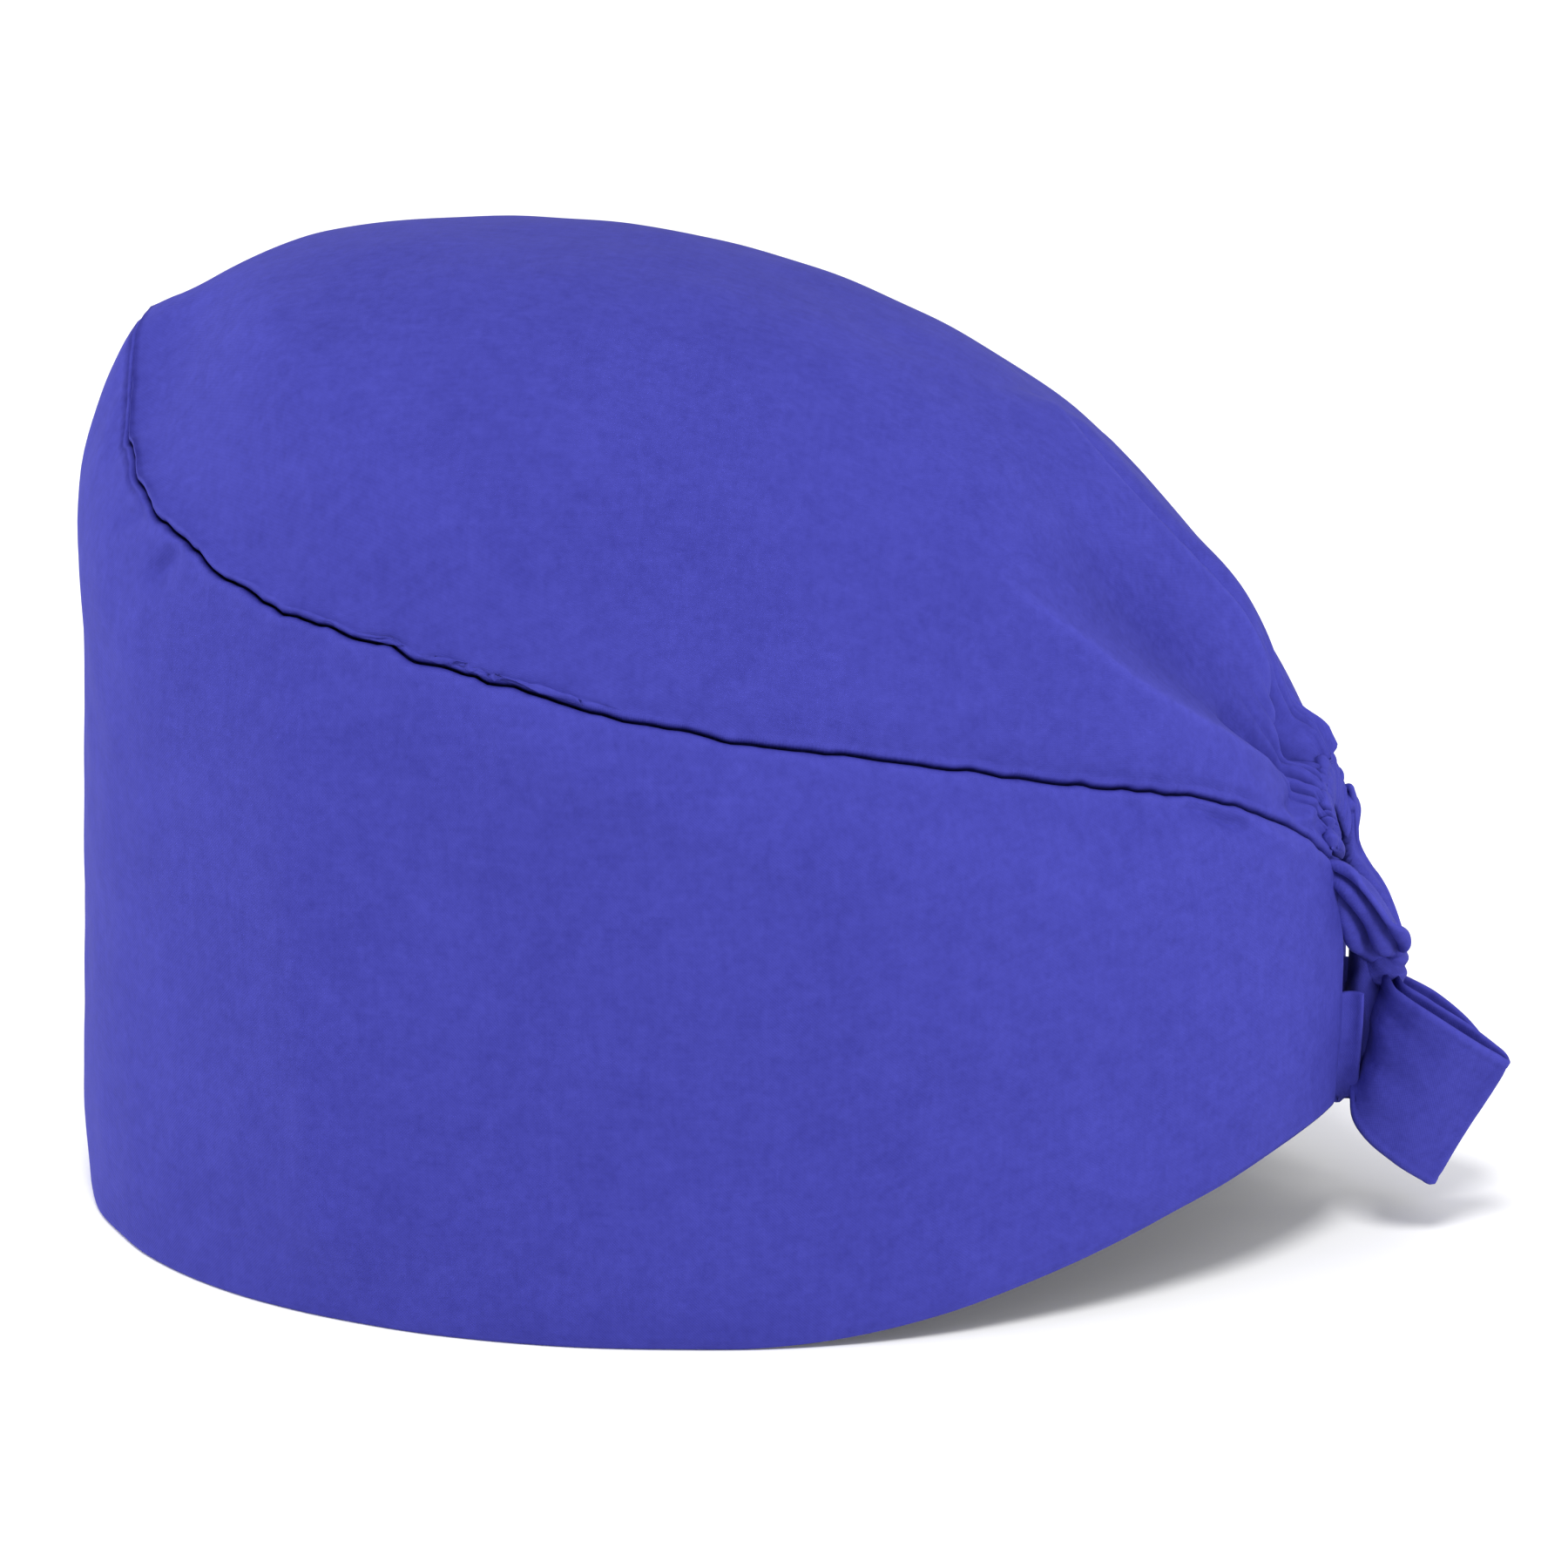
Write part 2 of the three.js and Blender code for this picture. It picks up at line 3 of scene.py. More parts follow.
import bpy
import numpy as np
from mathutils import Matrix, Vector


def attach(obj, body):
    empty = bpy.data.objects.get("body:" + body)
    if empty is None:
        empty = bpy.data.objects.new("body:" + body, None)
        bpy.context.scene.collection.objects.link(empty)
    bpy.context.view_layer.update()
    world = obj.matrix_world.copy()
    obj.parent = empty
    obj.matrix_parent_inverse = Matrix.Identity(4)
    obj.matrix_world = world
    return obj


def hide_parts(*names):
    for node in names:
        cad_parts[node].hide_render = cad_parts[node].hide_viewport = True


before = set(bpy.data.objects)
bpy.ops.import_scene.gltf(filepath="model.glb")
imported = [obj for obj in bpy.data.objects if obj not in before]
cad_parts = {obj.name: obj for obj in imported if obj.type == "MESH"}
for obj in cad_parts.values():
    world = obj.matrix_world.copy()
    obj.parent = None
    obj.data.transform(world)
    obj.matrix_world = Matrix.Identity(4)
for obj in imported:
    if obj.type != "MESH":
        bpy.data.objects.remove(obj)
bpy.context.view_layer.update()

# Studio. The camera looks at the wearer's left side from a little behind and above, as the
# photograph does. The cap stands on a wide white table in even white light, with a lamp before its
# forehead, one behind its bow and one above. A dark drape behind the camera deepens the side.
AZIMUTH, ELEVATION = np.radians([9.0, 17.0])
LOOKS_AT = np.array([0.0, 0.0, 0.080])
CAMERA_DISTANCE = 1.2
ASIDE, BELOW = 0.01235, 0.0081
LENS_MM, SENSOR_MM = 163.2, 36.0
CLIP_NEAR, CLIP_FAR = 0.05, 20
ROOM_LIGHT = 1.0
TABLE_REACH, TABLE_GREY, TABLE_ROUGH = 4.0, 0.93, 0.9
DRAPE_REACH, DRAPE_AWAY, DRAPE_TOP, DRAPE_GREY, DRAPE_ROUGH = 3.0, 2.0, 2.6, 0.1, 1.0

back = np.array(
    [
        np.sin(AZIMUTH) * np.cos(ELEVATION),
        -np.cos(AZIMUTH) * np.cos(ELEVATION),
        np.sin(ELEVATION),
    ]
)
right = np.array([np.cos(AZIMUTH), np.sin(AZIMUTH), 0.0])
up = np.cross(back, right)
scene = bpy.context.scene


def aim(thing, place, at):
    """Stands an object at a place with its -Z axis towards another, its Y axis upwards."""
    thing.location = Vector(place)
    way = Vector(np.asarray(at) - np.asarray(place))
    thing.rotation_euler = way.to_track_quat("-Z", "Y").to_euler()


camera = bpy.data.objects.new("camera", bpy.data.cameras.new("camera"))
camera.data.lens = LENS_MM
camera.data.sensor_width = SENSOR_MM
camera.data.clip_start, camera.data.clip_end = CLIP_NEAR, CLIP_FAR
aim(camera, LOOKS_AT + CAMERA_DISTANCE * back, LOOKS_AT + ASIDE * right - BELOW * up)
scene.collection.objects.link(camera)
scene.camera = camera

LAMPS = [
    # name, place, size, watts
    ("lamp_forehead", (-1.6, -0.35, 0.35), 0.7, 19.0),
    ("lamp_behind", (1.45, -0.85, 0.25), 0.6, 18.0),
    ("lamp_above", (0.05, -0.75, 1.35), 0.5, 15.0),
]
for lamp_name, lamp_place, lamp_size, lamp_watts in LAMPS:
    light = bpy.data.lights.new(lamp_name, "AREA")
    light.shape = "DISK"
    light.size = lamp_size
    light.energy = lamp_watts
    lamp = bpy.data.objects.new(lamp_name, light)
    aim(lamp, lamp_place, LOOKS_AT)
    scene.collection.objects.link(lamp)

world = bpy.data.worlds.new("white_room")
world.use_nodes = True
world.node_tree.nodes["Background"].inputs["Color"].default_value = (1, 1, 1, 1)
world.node_tree.nodes["Background"].inputs["Strength"].default_value = ROOM_LIGHT
scene.world = world
scene.view_settings.view_transform = "Standard"


def stage_plane(name, corners, grey, roughness):
    """A plain matt rectangle of the studio, which isn't part of the cap."""
    mesh = bpy.data.meshes.new(name)
    mesh.from_pydata(corners, [], [(0, 1, 2, 3)])
    matt = bpy.data.materials.new(f"{name}_matt")
    matt.use_nodes = True
    shader = matt.node_tree.nodes["Principled BSDF"]
    shader.inputs["Base Color"].default_value = (grey, grey, grey, 1)
    shader.inputs["Roughness"].default_value = roughness
    mesh.materials.append(matt)
    plane = bpy.data.objects.new(name, mesh)
    scene.collection.objects.link(plane)


signs = [(-1, -1), (1, -1), (1, 1), (-1, 1)]
stage_plane("table", [(x * TABLE_REACH, y * TABLE_REACH, 0) for x, y in signs], TABLE_GREY, TABLE_ROUGH)
stage_plane(
    "dark_drape",
    [(x * DRAPE_REACH, -DRAPE_AWAY, (1 + z) / 2 * DRAPE_TOP) for x, z in signs],
    DRAPE_GREY, DRAPE_ROUGH,
)

# Seam and rim. Two lines round the head give both panels their shape: the rim that the cap
# stands on, and the seam where the crown is sewn into the band. They are worked out in
# millimetres, for a turn that goes from the left back corner (-1) over the forehead (0) to the
# right one (1).
MM = 0.001
BACK_TAPER = 0.03
NAPE_LIFT, LIFT_START = 23.0, 0.15
CORNER_HEIGHT, SIDE_HEIGHT, FRONT_HEIGHT = 68.0, 108.0, 150.0
RIM = {"front": 107.5, "widest": -12, "width": 159, "back": 107, "opening": 22, "fullness": 0.01}
SEAM = {"front": 96, "widest": -18, "width": 143, "back": 106, "opening": 26, "fullness": 0.06}
WIDEST_TURN = np.pi / 2 / (np.pi - np.arcsin(SEAM["opening"] / SEAM["width"]))
HALF_ROUND = 295.0

# Share of the way forward or back from the widest place, and the share of the seam's climb or drop.
SEAM_CLIMBS = [
    (0, 0), (0.28, 0.13), (0.52, 0.24), (0.72, 0.37),
    (0.88, 0.51), (0.96, 0.65), (0.99, 0.83), (1, 1),
]
SEAM_DROPS = [(0, 0), (0.09, 0.17), (0.27, 0.42), (0.5, 0.59), (0.76, 0.78), (1, 1)]


def mix(a, b, share):
    """Goes from a to b as the share goes from 0 to 1."""
    return a + (b - a) * share


def smooth(t):
    """Goes from 0 to 1 with level ends: 3t^2 - 2t^3."""
    t = np.clip(t, 0, 1)
    return t * t * (3 - 2 * t)


def unit(v):
    """Vectors of length 1 with the same directions."""
    return v / np.maximum(np.linalg.norm(v, axis=-1, keepdims=True), 1e-12)


def through(rows, place):
    """Cubic curve through (place, value) rows, whose slope at a row is that between its
    neighbours."""
    x, y = np.array(rows, float).T
    slope = np.empty_like(x)
    slope[1:-1] = (y[2:] - y[:-2]) / (x[2:] - x[:-2])
    slope[0] = (y[1] - y[0]) / (x[1] - x[0])
    slope[-1] = (y[-1] - y[-2]) / (x[-1] - x[-2])
    i = np.clip(np.searchsorted(x, place) - 1, 0, len(x) - 2)
    span = x[i + 1] - x[i]
    t = np.clip((place - x[i]) / span, 0, 1)
    start = y[i] * (1 + 2 * t) * (1 - t) ** 2 + slope[i] * span * t * (1 - t) ** 2
    return start + y[i + 1] * t * t * (3 - 2 * t) + slope[i + 1] * span * t * t * (t - 1)


def ring(turn, front, widest, width, back, opening, fullness):
    """Half an ellipse in front of the widest place and part of a longer one behind it, each
    squared or tapered by the square of the sine of the double angle. Gives x, y, the share of the
    way forward from the widest place, and the share of the way back from it."""
    stop = np.pi - np.arcsin(opening / width)
    angle = np.abs(turn) * stop
    fore = angle <= np.pi / 2
    bend = np.where(fore, angle, np.pi - angle)
    fuller = 1 + np.where(fore, fullness, -BACK_TAPER) * np.sin(2 * bend) ** 2
    rise = np.abs(np.cos(bend)) * fuller
    last = np.pi - stop
    last_rise = np.cos(last) * (1 - BACK_TAPER * np.sin(2 * last) ** 2)
    x = np.where(fore, widest - (front + widest) * rise, widest + (back - widest) * rise / last_rise)
    y = np.sign(turn) * width / 2 * np.sin(bend) * fuller
    return x, y, np.where(fore, rise, 0), np.where(fore, 0, (angle - np.pi / 2) / (stop - np.pi / 2))


def rim_line(turn):
    """Flat on the table round the forehead and the sides, and lifted smoothly at the nape."""
    x, y, _, along = ring(turn, **RIM)
    return np.stack([x, y, NAPE_LIFT * smooth((along - LIFT_START) / (1 - LIFT_START))], -1)


def seam_line(turn):
    """High over the forehead, slowly falling along the side, and falling fast to the corner."""
    x, y, rise, along = ring(turn, **SEAM)
    behind = mix(CORNER_HEIGHT, SIDE_HEIGHT, through(SEAM_DROPS, 1 - along))
    ahead = mix(SIDE_HEIGHT, FRONT_HEIGHT, through(SEAM_CLIMBS, rise))
    return np.stack([x, y, np.where(along > 0, behind, ahead)], -1)


WANDER_LEVELS, WANDER_START = 512, 200
SWELL_WAVES, SWELL_HEIGHT = 9, 4


def wander(place, size, seed):
    """Smooth random curve: random levels a size apart, joined by eased steps."""
    levels = np.random.default_rng(seed).uniform(-1, 1, WANDER_LEVELS)
    place = np.asarray(place, float) / size + WANDER_START
    i = np.floor(place).astype(int)
    return mix(levels[i % WANDER_LEVELS], levels[(i + 1) % WANDER_LEVELS], smooth(place - i))


def swell(x, y, size, seed):
    """Smooth random surface: the sum of a few plane waves about a size long, each in its own
    direction, over the height that such a sum rarely passes."""
    rng = np.random.default_rng(seed)
    total = 0
    for _ in range(SWELL_WAVES):
        way, phase = rng.uniform(0, 2 * np.pi, 2)
        length = size * rng.uniform(0.7, 1.5)
        total = total + np.sin(2 * np.pi * (x * np.cos(way) + y * np.sin(way)) / length + phase)
    return total / SWELL_HEIGHT


def normals_of(grid):
    """Unit normals of a grid of points: the cross product of its two differences."""
    return unit(np.cross(np.gradient(grid, axis=0), np.gradient(grid, axis=1)))


# Side band. One deep strip of cotton goes round the forehead and the sides. Its lower edge is turned up
# inside into a hem, its two back edges curl in either side of the nape, and its upper edge rolls in at
# the seam to a seam allowance. Sizes are in millimetres.
CLOTH = 0.75
BAND_BULGE, EVEN_LEAN = 1.6, 1.3
BAND_COLUMNS, BAND_ROWS, CURL_STEPS = 430, 84, 9
HEM_HEIGHT, HEM_FOOT, HEM_ROWS, HEM_GAP = 19.0, 1.6, 10, 0.25
HEM_TURN = np.radians([-60, -30, 0, 30, 60])
ROLL, ALLOWANCE, SEAM_SPLIT, SEAM_DIP, NEAR_SEAM = 1.3, 4.5, 0.4, 0.55, 0.97
CURL_RADIUS, CURL_DEGREES = 3.4, 115.0

# By turn from the forehead: the height of the shoulder, how far the band is creased there, and its
# share of the bulge.
BAND_SHAPE = [(0, 0.82), (0.25, 0.77), (0.5, 0.6), (0.75, 0.45), (1, 0.35)]
BAND_CREASED = [
    (0, 1), (0.26, 1), (0.36, 0.3), (0.44, 0.1), (0.5, 0.35), (0.6, 0.85), (0.7, 1), (1, 1),
]
BAND_SWELL = [(0, 0.4), (0.25, 0.6), (0.5, 1), (0.75, 1), (1, 0.5)]

# What the stitching does to the cloth beside it: millimetres, the length of a wave and its seed. The
# two panels sway together, and each has its own puckers. Each fades within so many millimetres.
SWAYS = [(0.36, 2.6, 3), (0.5, 7, 4), (0.4, 21, 5)]
LOOSENED, TIGHT_LENGTH, TIGHT_SEED = 0.45, 34, 8
SHORT_PUCKER, SHORT_LENGTH, SHORT_SEED = 0.26, 2.9, 11
LONG_PUCKER, LONG_LENGTH, LONG_SEED = 0.5, 6.5, 13
SWAY_FADE, SHORT_FADE, LONG_FADE, PANEL_SHIFT = 4.0, 3.5, 8.0, 50

# Slack of the cloth away from its sewn edges, the same way, and the ripple of the rim. The seam
# pulls cloth to it within its reach, and slack starts so many millimetres from an edge that holds.
BAND_SLACKS = [(0.45, 62, 21), (0.14, 19, 22)]
CROWN_SLACKS = [(0.4, 55, 51), (0.13, 17, 52)]
RIM_RIPPLE, RIM_LENGTH, RIM_SEED, RIM_FADE = 0.22, 13, 31, 9
SEAM_REACH, SEAM_HOLDS, RIM_HOLDS, CROWN_HOLDS = 7.0, 10, 14, 12

# Painted light, which lightens the cloth's colour above 0 and darkens it below, and a little paleness
# from use. There is a painted highlight on the seam's edge and the rim's, painted shade in hollows,
# along the front of the seam and on the rows of the roll, paleness from use on the hem, and a painted
# highlight on the hem's edge and on the curls.
SEAM_HIGHLIGHT, SEAM_HIGHLIGHT_MM = 0.4, 1.8
RIM_HIGHLIGHT, RIM_HIGHLIGHT_MM = 0.5, 1.2
HOLLOW_SHADE, FRONT_SHADE, FRONT_SHADE_MM, FRONT_TURN, FRONT_FADE = 0.2, 2.6, 0.9, 0.24, 0.1
SEAM_SHADE = (0.0, -1.0, -2.2, -3.0, -3.0, -3.0)
HEM_WEAR, HEM_EDGE_HIGHLIGHT, CURL_HIGHLIGHT = 0.1, 0.5, 0.25

# Dents of the band that are too broad to be folds: turn, height, breadth in turn, breadth in
# height, and depth in millimetres.
BAND_DENTS = [
    (0.0, 0.74, 0.24, 0.36, -2.6),
    (-0.36, 0.40, 0.07, 0.60, 0.9),
    (-0.52, 0.66, 0.10, 0.20, -1.1),
    (-0.72, 0.35, 0.12, 0.30, -0.9),
    (0.40, 0.40, 0.07, 0.60, 0.9),
    (0.62, 0.60, 0.12, 0.24, -1.0),
]

# Folds of the band: a path of (turn, height) places, how far the cloth stands out along it in
# millimetres, how wide the fold is on its left and on its right, looking along the path, how
# sharp its crest is (2 is round, 1 a crease), and the shares of the path that it fades over.
BAND_FOLDS = [
    # Creases under the seam that catch the light from above.
    ([(-0.49, 0.97), (-0.55, 0.90), (-0.61, 0.83), (-0.67, 0.78)], 1.7, 11, 5, 1.4, 0.2, 0.3),
    ([(-0.60, 0.86), (-0.70, 0.79), (-0.78, 0.75), (-0.87, 0.74)], 1.2, 12, 7, 2, 0.3, 0.3),
    ([(0.48, 0.97), (0.55, 0.90), (0.62, 0.82), (0.70, 0.78)], 1.6, 5, 10, 1.4, 0.2, 0.3),
    # The turn from the forehead to the side.
    (
        [(-0.355, 0.97), (-0.362, 0.65), (-0.375, 0.30), (-0.38, 0.04)],
        2.2, 17, 13, 1.25, 0.15, 0.15,
    ),
    ([(0.37, 0.95), (0.385, 0.60), (0.39, 0.30), (0.39, 0.06)], 1.8, 13, 17, 1.25, 0.15, 0.15),
    # Tucks pulled in by the seam over the forehead.
    ([(-0.208, 1.01), (-0.182, 0.965), (-0.150, 0.938)], -1.2, 2.0, 1.3, 1.5, 0.01, 0.6),
    ([(-0.256, 1.01), (-0.238, 0.955), (-0.221, 0.915)], -1.6, 2.4, 1.6, 1.5, 0.01, 0.6),
    ([(0.19, 1.01), (0.175, 0.96), (0.15, 0.935)], -1.2, 1.5, 2.0, 1.5, 0.01, 0.6),
    # Tucks below the corner, and soft creases by the seam and the rim.
    ([(-0.862, 1.01), (-0.895, 0.96), (-0.928, 0.915)], -1.9, 2.4, 1.8, 1.6, 0.01, 0.6),
    ([(-0.905, 0.99), (-0.935, 0.95), (-0.965, 0.91)], 0.9, 2.4, 2.4, 1.6, 0.3, 0.4),
    ([(-0.815, 1.01), (-0.825, 0.96), (-0.835, 0.90)], -0.8, 2.0, 2.0, 2, 0.01, 0.7),
    ([(-0.840, 1.01), (-0.852, 0.96), (-0.858, 0.90)], -0.8, 2.0, 2.0, 2, 0.01, 0.7),
    ([(0.88, 1.01), (0.90, 0.96), (0.93, 0.90)], -1.6, 1.8, 2.4, 1.6, 0.01, 0.6),
    ([(-0.752, 0.25), (-0.795, 0.14), (-0.842, 0.03)], 0.9, 6, 2.5, 1.5, 0.3, 0.3),
    ([(0.70, 0.30), (0.76, 0.18), (0.80, 0.04)], 0.8, 3, 6, 1.5, 0.3, 0.3),
]


def seam_way(turn):
    """Direction along the seam at a turn."""
    step = 1e-3
    return unit(seam_line(np.minimum(1, turn + step)) - seam_line(np.maximum(-1, turn - step)))


def seam_outward(turn):
    """Level direction away from the cap, square to the seam."""
    return unit(np.cross([0, 0, 1], seam_way(turn)))


def band_form(turn, height):
    """Straight wall from the rim up to a shoulder, which then leans in to the seam as a power
    of the rest of the way, and swells out a little between the two sewn edges. Where the band
    isn't creased at the shoulder it leans in evenly instead."""
    rim, seam = rim_line(turn), seam_line(turn)
    shoulder = through(BAND_SHAPE, np.abs(turn))
    lean = np.clip((height - shoulder) / (1 - shoulder), 0, 1) ** 2
    lean = mix(height**EVEN_LEAN, lean, through(BAND_CREASED, np.abs(turn)))[..., None]
    out = BAND_BULGE * through(BAND_SWELL, np.abs(turn))
    for at_turn, at_height, wide, tall, depth in BAND_DENTS:
        near = ((turn - at_turn) / wide) ** 2 + ((height - at_height) / tall) ** 2
        out = out + depth * np.exp(-near)
    out = out * (1 - (2 * height - 1) ** 6)
    wall = mix(rim, seam, lean)
    wall[..., 2] = mix(rim[..., 2], seam[..., 2], height)
    return wall + seam_outward(turn) * out[..., None]


def beside(points, normals, path):
    """Distance of each point from a path, positive on its left, and the share of the path that
    lies behind the nearest place: the nearest of the path's straight pieces."""
    best = np.full(points.shape[:-1], 1e9)
    side = np.zeros_like(best)
    share = np.zeros_like(best)
    last = len(path) - 1
    for k in range(last):
        piece = path[k + 1] - path[k]
        t = np.clip((points - path[k]) @ piece / (piece @ piece), 0, 1)
        away = points - path[k] - t[..., None] * piece
        distance = np.linalg.norm(away, axis=-1)
        nearer = distance < best
        best = np.where(nearer, distance, best)
        left = np.sign((np.cross(normals, piece) * away).sum(-1))
        side = np.where(nearer, left, side)
        share = np.where(nearer, (k + t) / last, share)
    return best * side, share


# CREST_MM is the half width of the painted highlight that narrow fold crests get.
STEPS_PER_PLACE, NARROW_FOLD, CREST_MM = 6, 10, 1.1


def folded(points, normals, surface, folds):
    """How far the folds lift each point: for each fold a bell curve across its path, as wide on
    either side as the fold says, whose power is its sharpness. Also gives how near the point is
    to the crest of a narrow outward fold, from 0 to 1."""
    lift = np.zeros(points.shape[:-1])
    crest = np.zeros_like(lift)
    for places, height, left, right_side, sharp, fade_in, fade_out in folds:
        places = np.array(places, float)
        t = np.linspace(0, 1, len(places))
        fine = np.linspace(0, 1, STEPS_PER_PLACE * len(places))
        path = surface(*(through(list(zip(t, column)), fine) for column in places.T))
        across, share = beside(points, normals, path)
        width = np.where(across > 0, left, right_side)
        fade = smooth(share / fade_in) * smooth((1 - share) / fade_out)
        near = np.exp(-(np.abs(across / width) ** sharp)) * fade
        lift += height * near
        # Nearness to a narrow outward fold's ridge, used as a painted highlight along it.
        if height > 0:
            keen = (2 - sharp) * min(1, height) * (left < NARROW_FOLD)
            crest = np.maximum(crest, keen * np.exp(-((across / CREST_MM) ** 2)) * fade)
    return lift, crest


def seam_frame(turn):
    """At a turn: the seam's point, the way across the seam from the band to the crown, and the way
    in that both panels turn to there, level and a little down. The two ways are square."""
    point = seam_line(turn)
    rising = unit(point - band_form(turn, np.full(np.shape(turn), NEAR_SEAM)))
    inward = unit(-seam_outward(turn) - np.array([0, 0, SEAM_DIP]))
    split = unit(np.cross(seam_way(turn), inward))
    split = split * np.sign((split * rising).sum(-1, keepdims=True))
    return point, split, inward


def seam_pull(turn, distance, panel):
    """How the stitching moves cloth near the seam: sway, which both panels share, wavers along
    the seam, and puckers lift each panel in short ripples. Both fade with the distance from the
    seam."""
    length = turn * HALF_ROUND
    own = length + PANEL_SHIFT * panel
    sway = sum(amount * wander(length, size, seed) for amount, size, seed in SWAYS)
    tight = mix(1, wander(length, TIGHT_LENGTH, TIGHT_SEED), LOOSENED)
    short = SHORT_PUCKER * wander(own, SHORT_LENGTH, SHORT_SEED + panel)
    short = short * np.exp(-((distance / SHORT_FADE) ** 1.5))
    long = LONG_PUCKER * tight * wander(own, LONG_LENGTH, LONG_SEED + panel)
    return sway * np.exp(-distance / SWAY_FADE), short + long * np.exp(-((distance / LONG_FADE) ** 1.6))


def cloth_slack(x, y, slacks):
    """Sum of swells, each with its millimetres, size and seed."""
    return sum(amount * swell(x, y, size, seed) for amount, size, seed in slacks)


def seam_highlight_and_shade(turn, distance, crest, hollow):
    """Painted light near the seam: a painted highlight on the rolled edge and on crests, painted shade
    in hollows, and painted shade in the cleft beside the seam over the forehead."""
    wear_and_light = SEAM_HIGHLIGHT * np.exp(-((distance / SEAM_HIGHLIGHT_MM) ** 2)) + crest
    wear_and_light = wear_and_light + HOLLOW_SHADE * np.minimum(hollow, 0)
    over_forehead = smooth((FRONT_TURN - np.abs(turn)) / FRONT_FADE)
    return wear_and_light - FRONT_SHADE * np.exp(-((distance / FRONT_SHADE_MM) ** 2)) * over_forehead


def sewn_edge(edge, way, frame_at):
    """Rows that carry a panel from its edge over the roll and down the seam allowance: a
    quadratic curve that bends at the seam, and then a straight line inwards. The way is 1 for the
    crown and -1 for the band, and the frame is that of the seam's points."""
    point, split, inward = frame_at
    bend = point + way * SEAM_SPLIT / 2 * split
    rolled = [
        mix(mix(edge, bend, t), mix(bend, bend + ROLL * inward, t), t) for t in (0.25, 0.5, 0.75, 1.0)
    ]
    return rolled + [bend + (ROLL + ALLOWANCE * depth) * inward for depth in (0.5, 1.0)]


def seam_point(turn):
    """The seam with its sway, which is where both panels bend."""
    point, split, inward = seam_frame(turn)
    sway, _ = seam_pull(turn, 0.0, 0)
    return point + sway[..., None] * split, split, inward


def join_quads(rows, columns):
    """Quads of a grid whose points are numbered row by row."""
    at = np.arange(rows * columns).reshape(rows, columns)
    quads = np.stack([at[:-1, :-1], at[:-1, 1:], at[1:, 1:], at[1:, :-1]], -1)
    return quads.reshape(-1, 4)


EDGE_BULGE = 0.45


def thicken(points, quads, wall):
    """Gives a sheet its thickness: a second layer a wall behind it along its normals, joined to
    it round the border by an edge that bulges out half way between them. Gives the points, the
    quads, and the sheet's own point for each."""
    ring_points = points[quads]
    facing = np.cross(ring_points[:, 2] - ring_points[:, 0], ring_points[:, 3] - ring_points[:, 1])
    normals = np.zeros_like(points)
    for corner in range(4):
        np.add.at(normals, quads[:, corner], facing)
    normals = unit(normals)
    behind = points - wall * normals
    sides = np.stack([quads, np.roll(quads, -1, 1)], -1).reshape(-1, 2)
    named = np.sort(sides, 1) @ [len(points), 1]
    _, first, count = np.unique(named, return_index=True, return_counts=True)
    border = sides[first[count == 1]]
    outward = np.zeros_like(points)
    way = np.cross(points[border[:, 1]] - points[border[:, 0]], normals[border[:, 0]])
    np.add.at(outward, border[:, 0], unit(way))
    np.add.at(outward, border[:, 1], unit(way))
    edge = np.unique(border)
    middle = (points[edge] + behind[edge]) / 2 + unit(outward[edge]) * wall * EDGE_BULGE
    number = np.zeros(len(points), int)
    number[edge] = np.arange(len(edge)) + 2 * len(points)
    p, q = border.T
    layers = [
        quads,
        quads[:, ::-1] + len(points),
        np.stack([q, p, number[p], number[q]], -1),
        np.stack([number[q], number[p], p + len(points), q + len(points)], -1),
    ]
    source = np.concatenate([np.arange(len(points)), np.arange(len(points)), edge])
    return np.concatenate([points, behind, middle]), np.concatenate(layers), source


def make_piece(name, points, quads, cloth_place, wear_and_painted_light, material):
    """Writes a mesh in metres, with its place on the cloth as a UV map and, as an attribute, its
    painted highlights and painted shade together with a little paleness from use, and links it."""
    mesh = bpy.data.meshes.new(name)
    mesh.vertices.add(len(points))
    mesh.vertices.foreach_set("co", (points * MM).ravel())
    mesh.loops.add(quads.size)
    mesh.loops.foreach_set("vertex_index", quads.ravel())
    mesh.polygons.add(len(quads))
    mesh.polygons.foreach_set("loop_start", np.arange(0, quads.size, 4))
    mesh.update(calc_edges=True)
    mesh.polygons.foreach_set("use_smooth", np.ones(len(quads), bool))
    uv_map = mesh.uv_layers.new(name="cloth")
    uv_map.data.foreach_set("uv", (cloth_place[quads.ravel()] * MM).ravel())
    wear_and_light = mesh.attributes.new("wear_and_painted_light", "FLOAT", "POINT")
    wear_and_light.data.foreach_set("value", wear_and_painted_light)
    mesh.materials.append(material)
    piece = bpy.data.objects.new(name, mesh)
    scene.collection.objects.link(piece)
    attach(piece, "root")
    return piece


def make_sheet(name, points, quads, cloth_place, wear_and_painted_light, wall, material):
    """Thickens a sheet and makes a piece of it."""
    points, quads, source = thicken(points, quads, wall)
    return make_piece(name, points, quads, cloth_place[source], wear_and_painted_light[source], material)


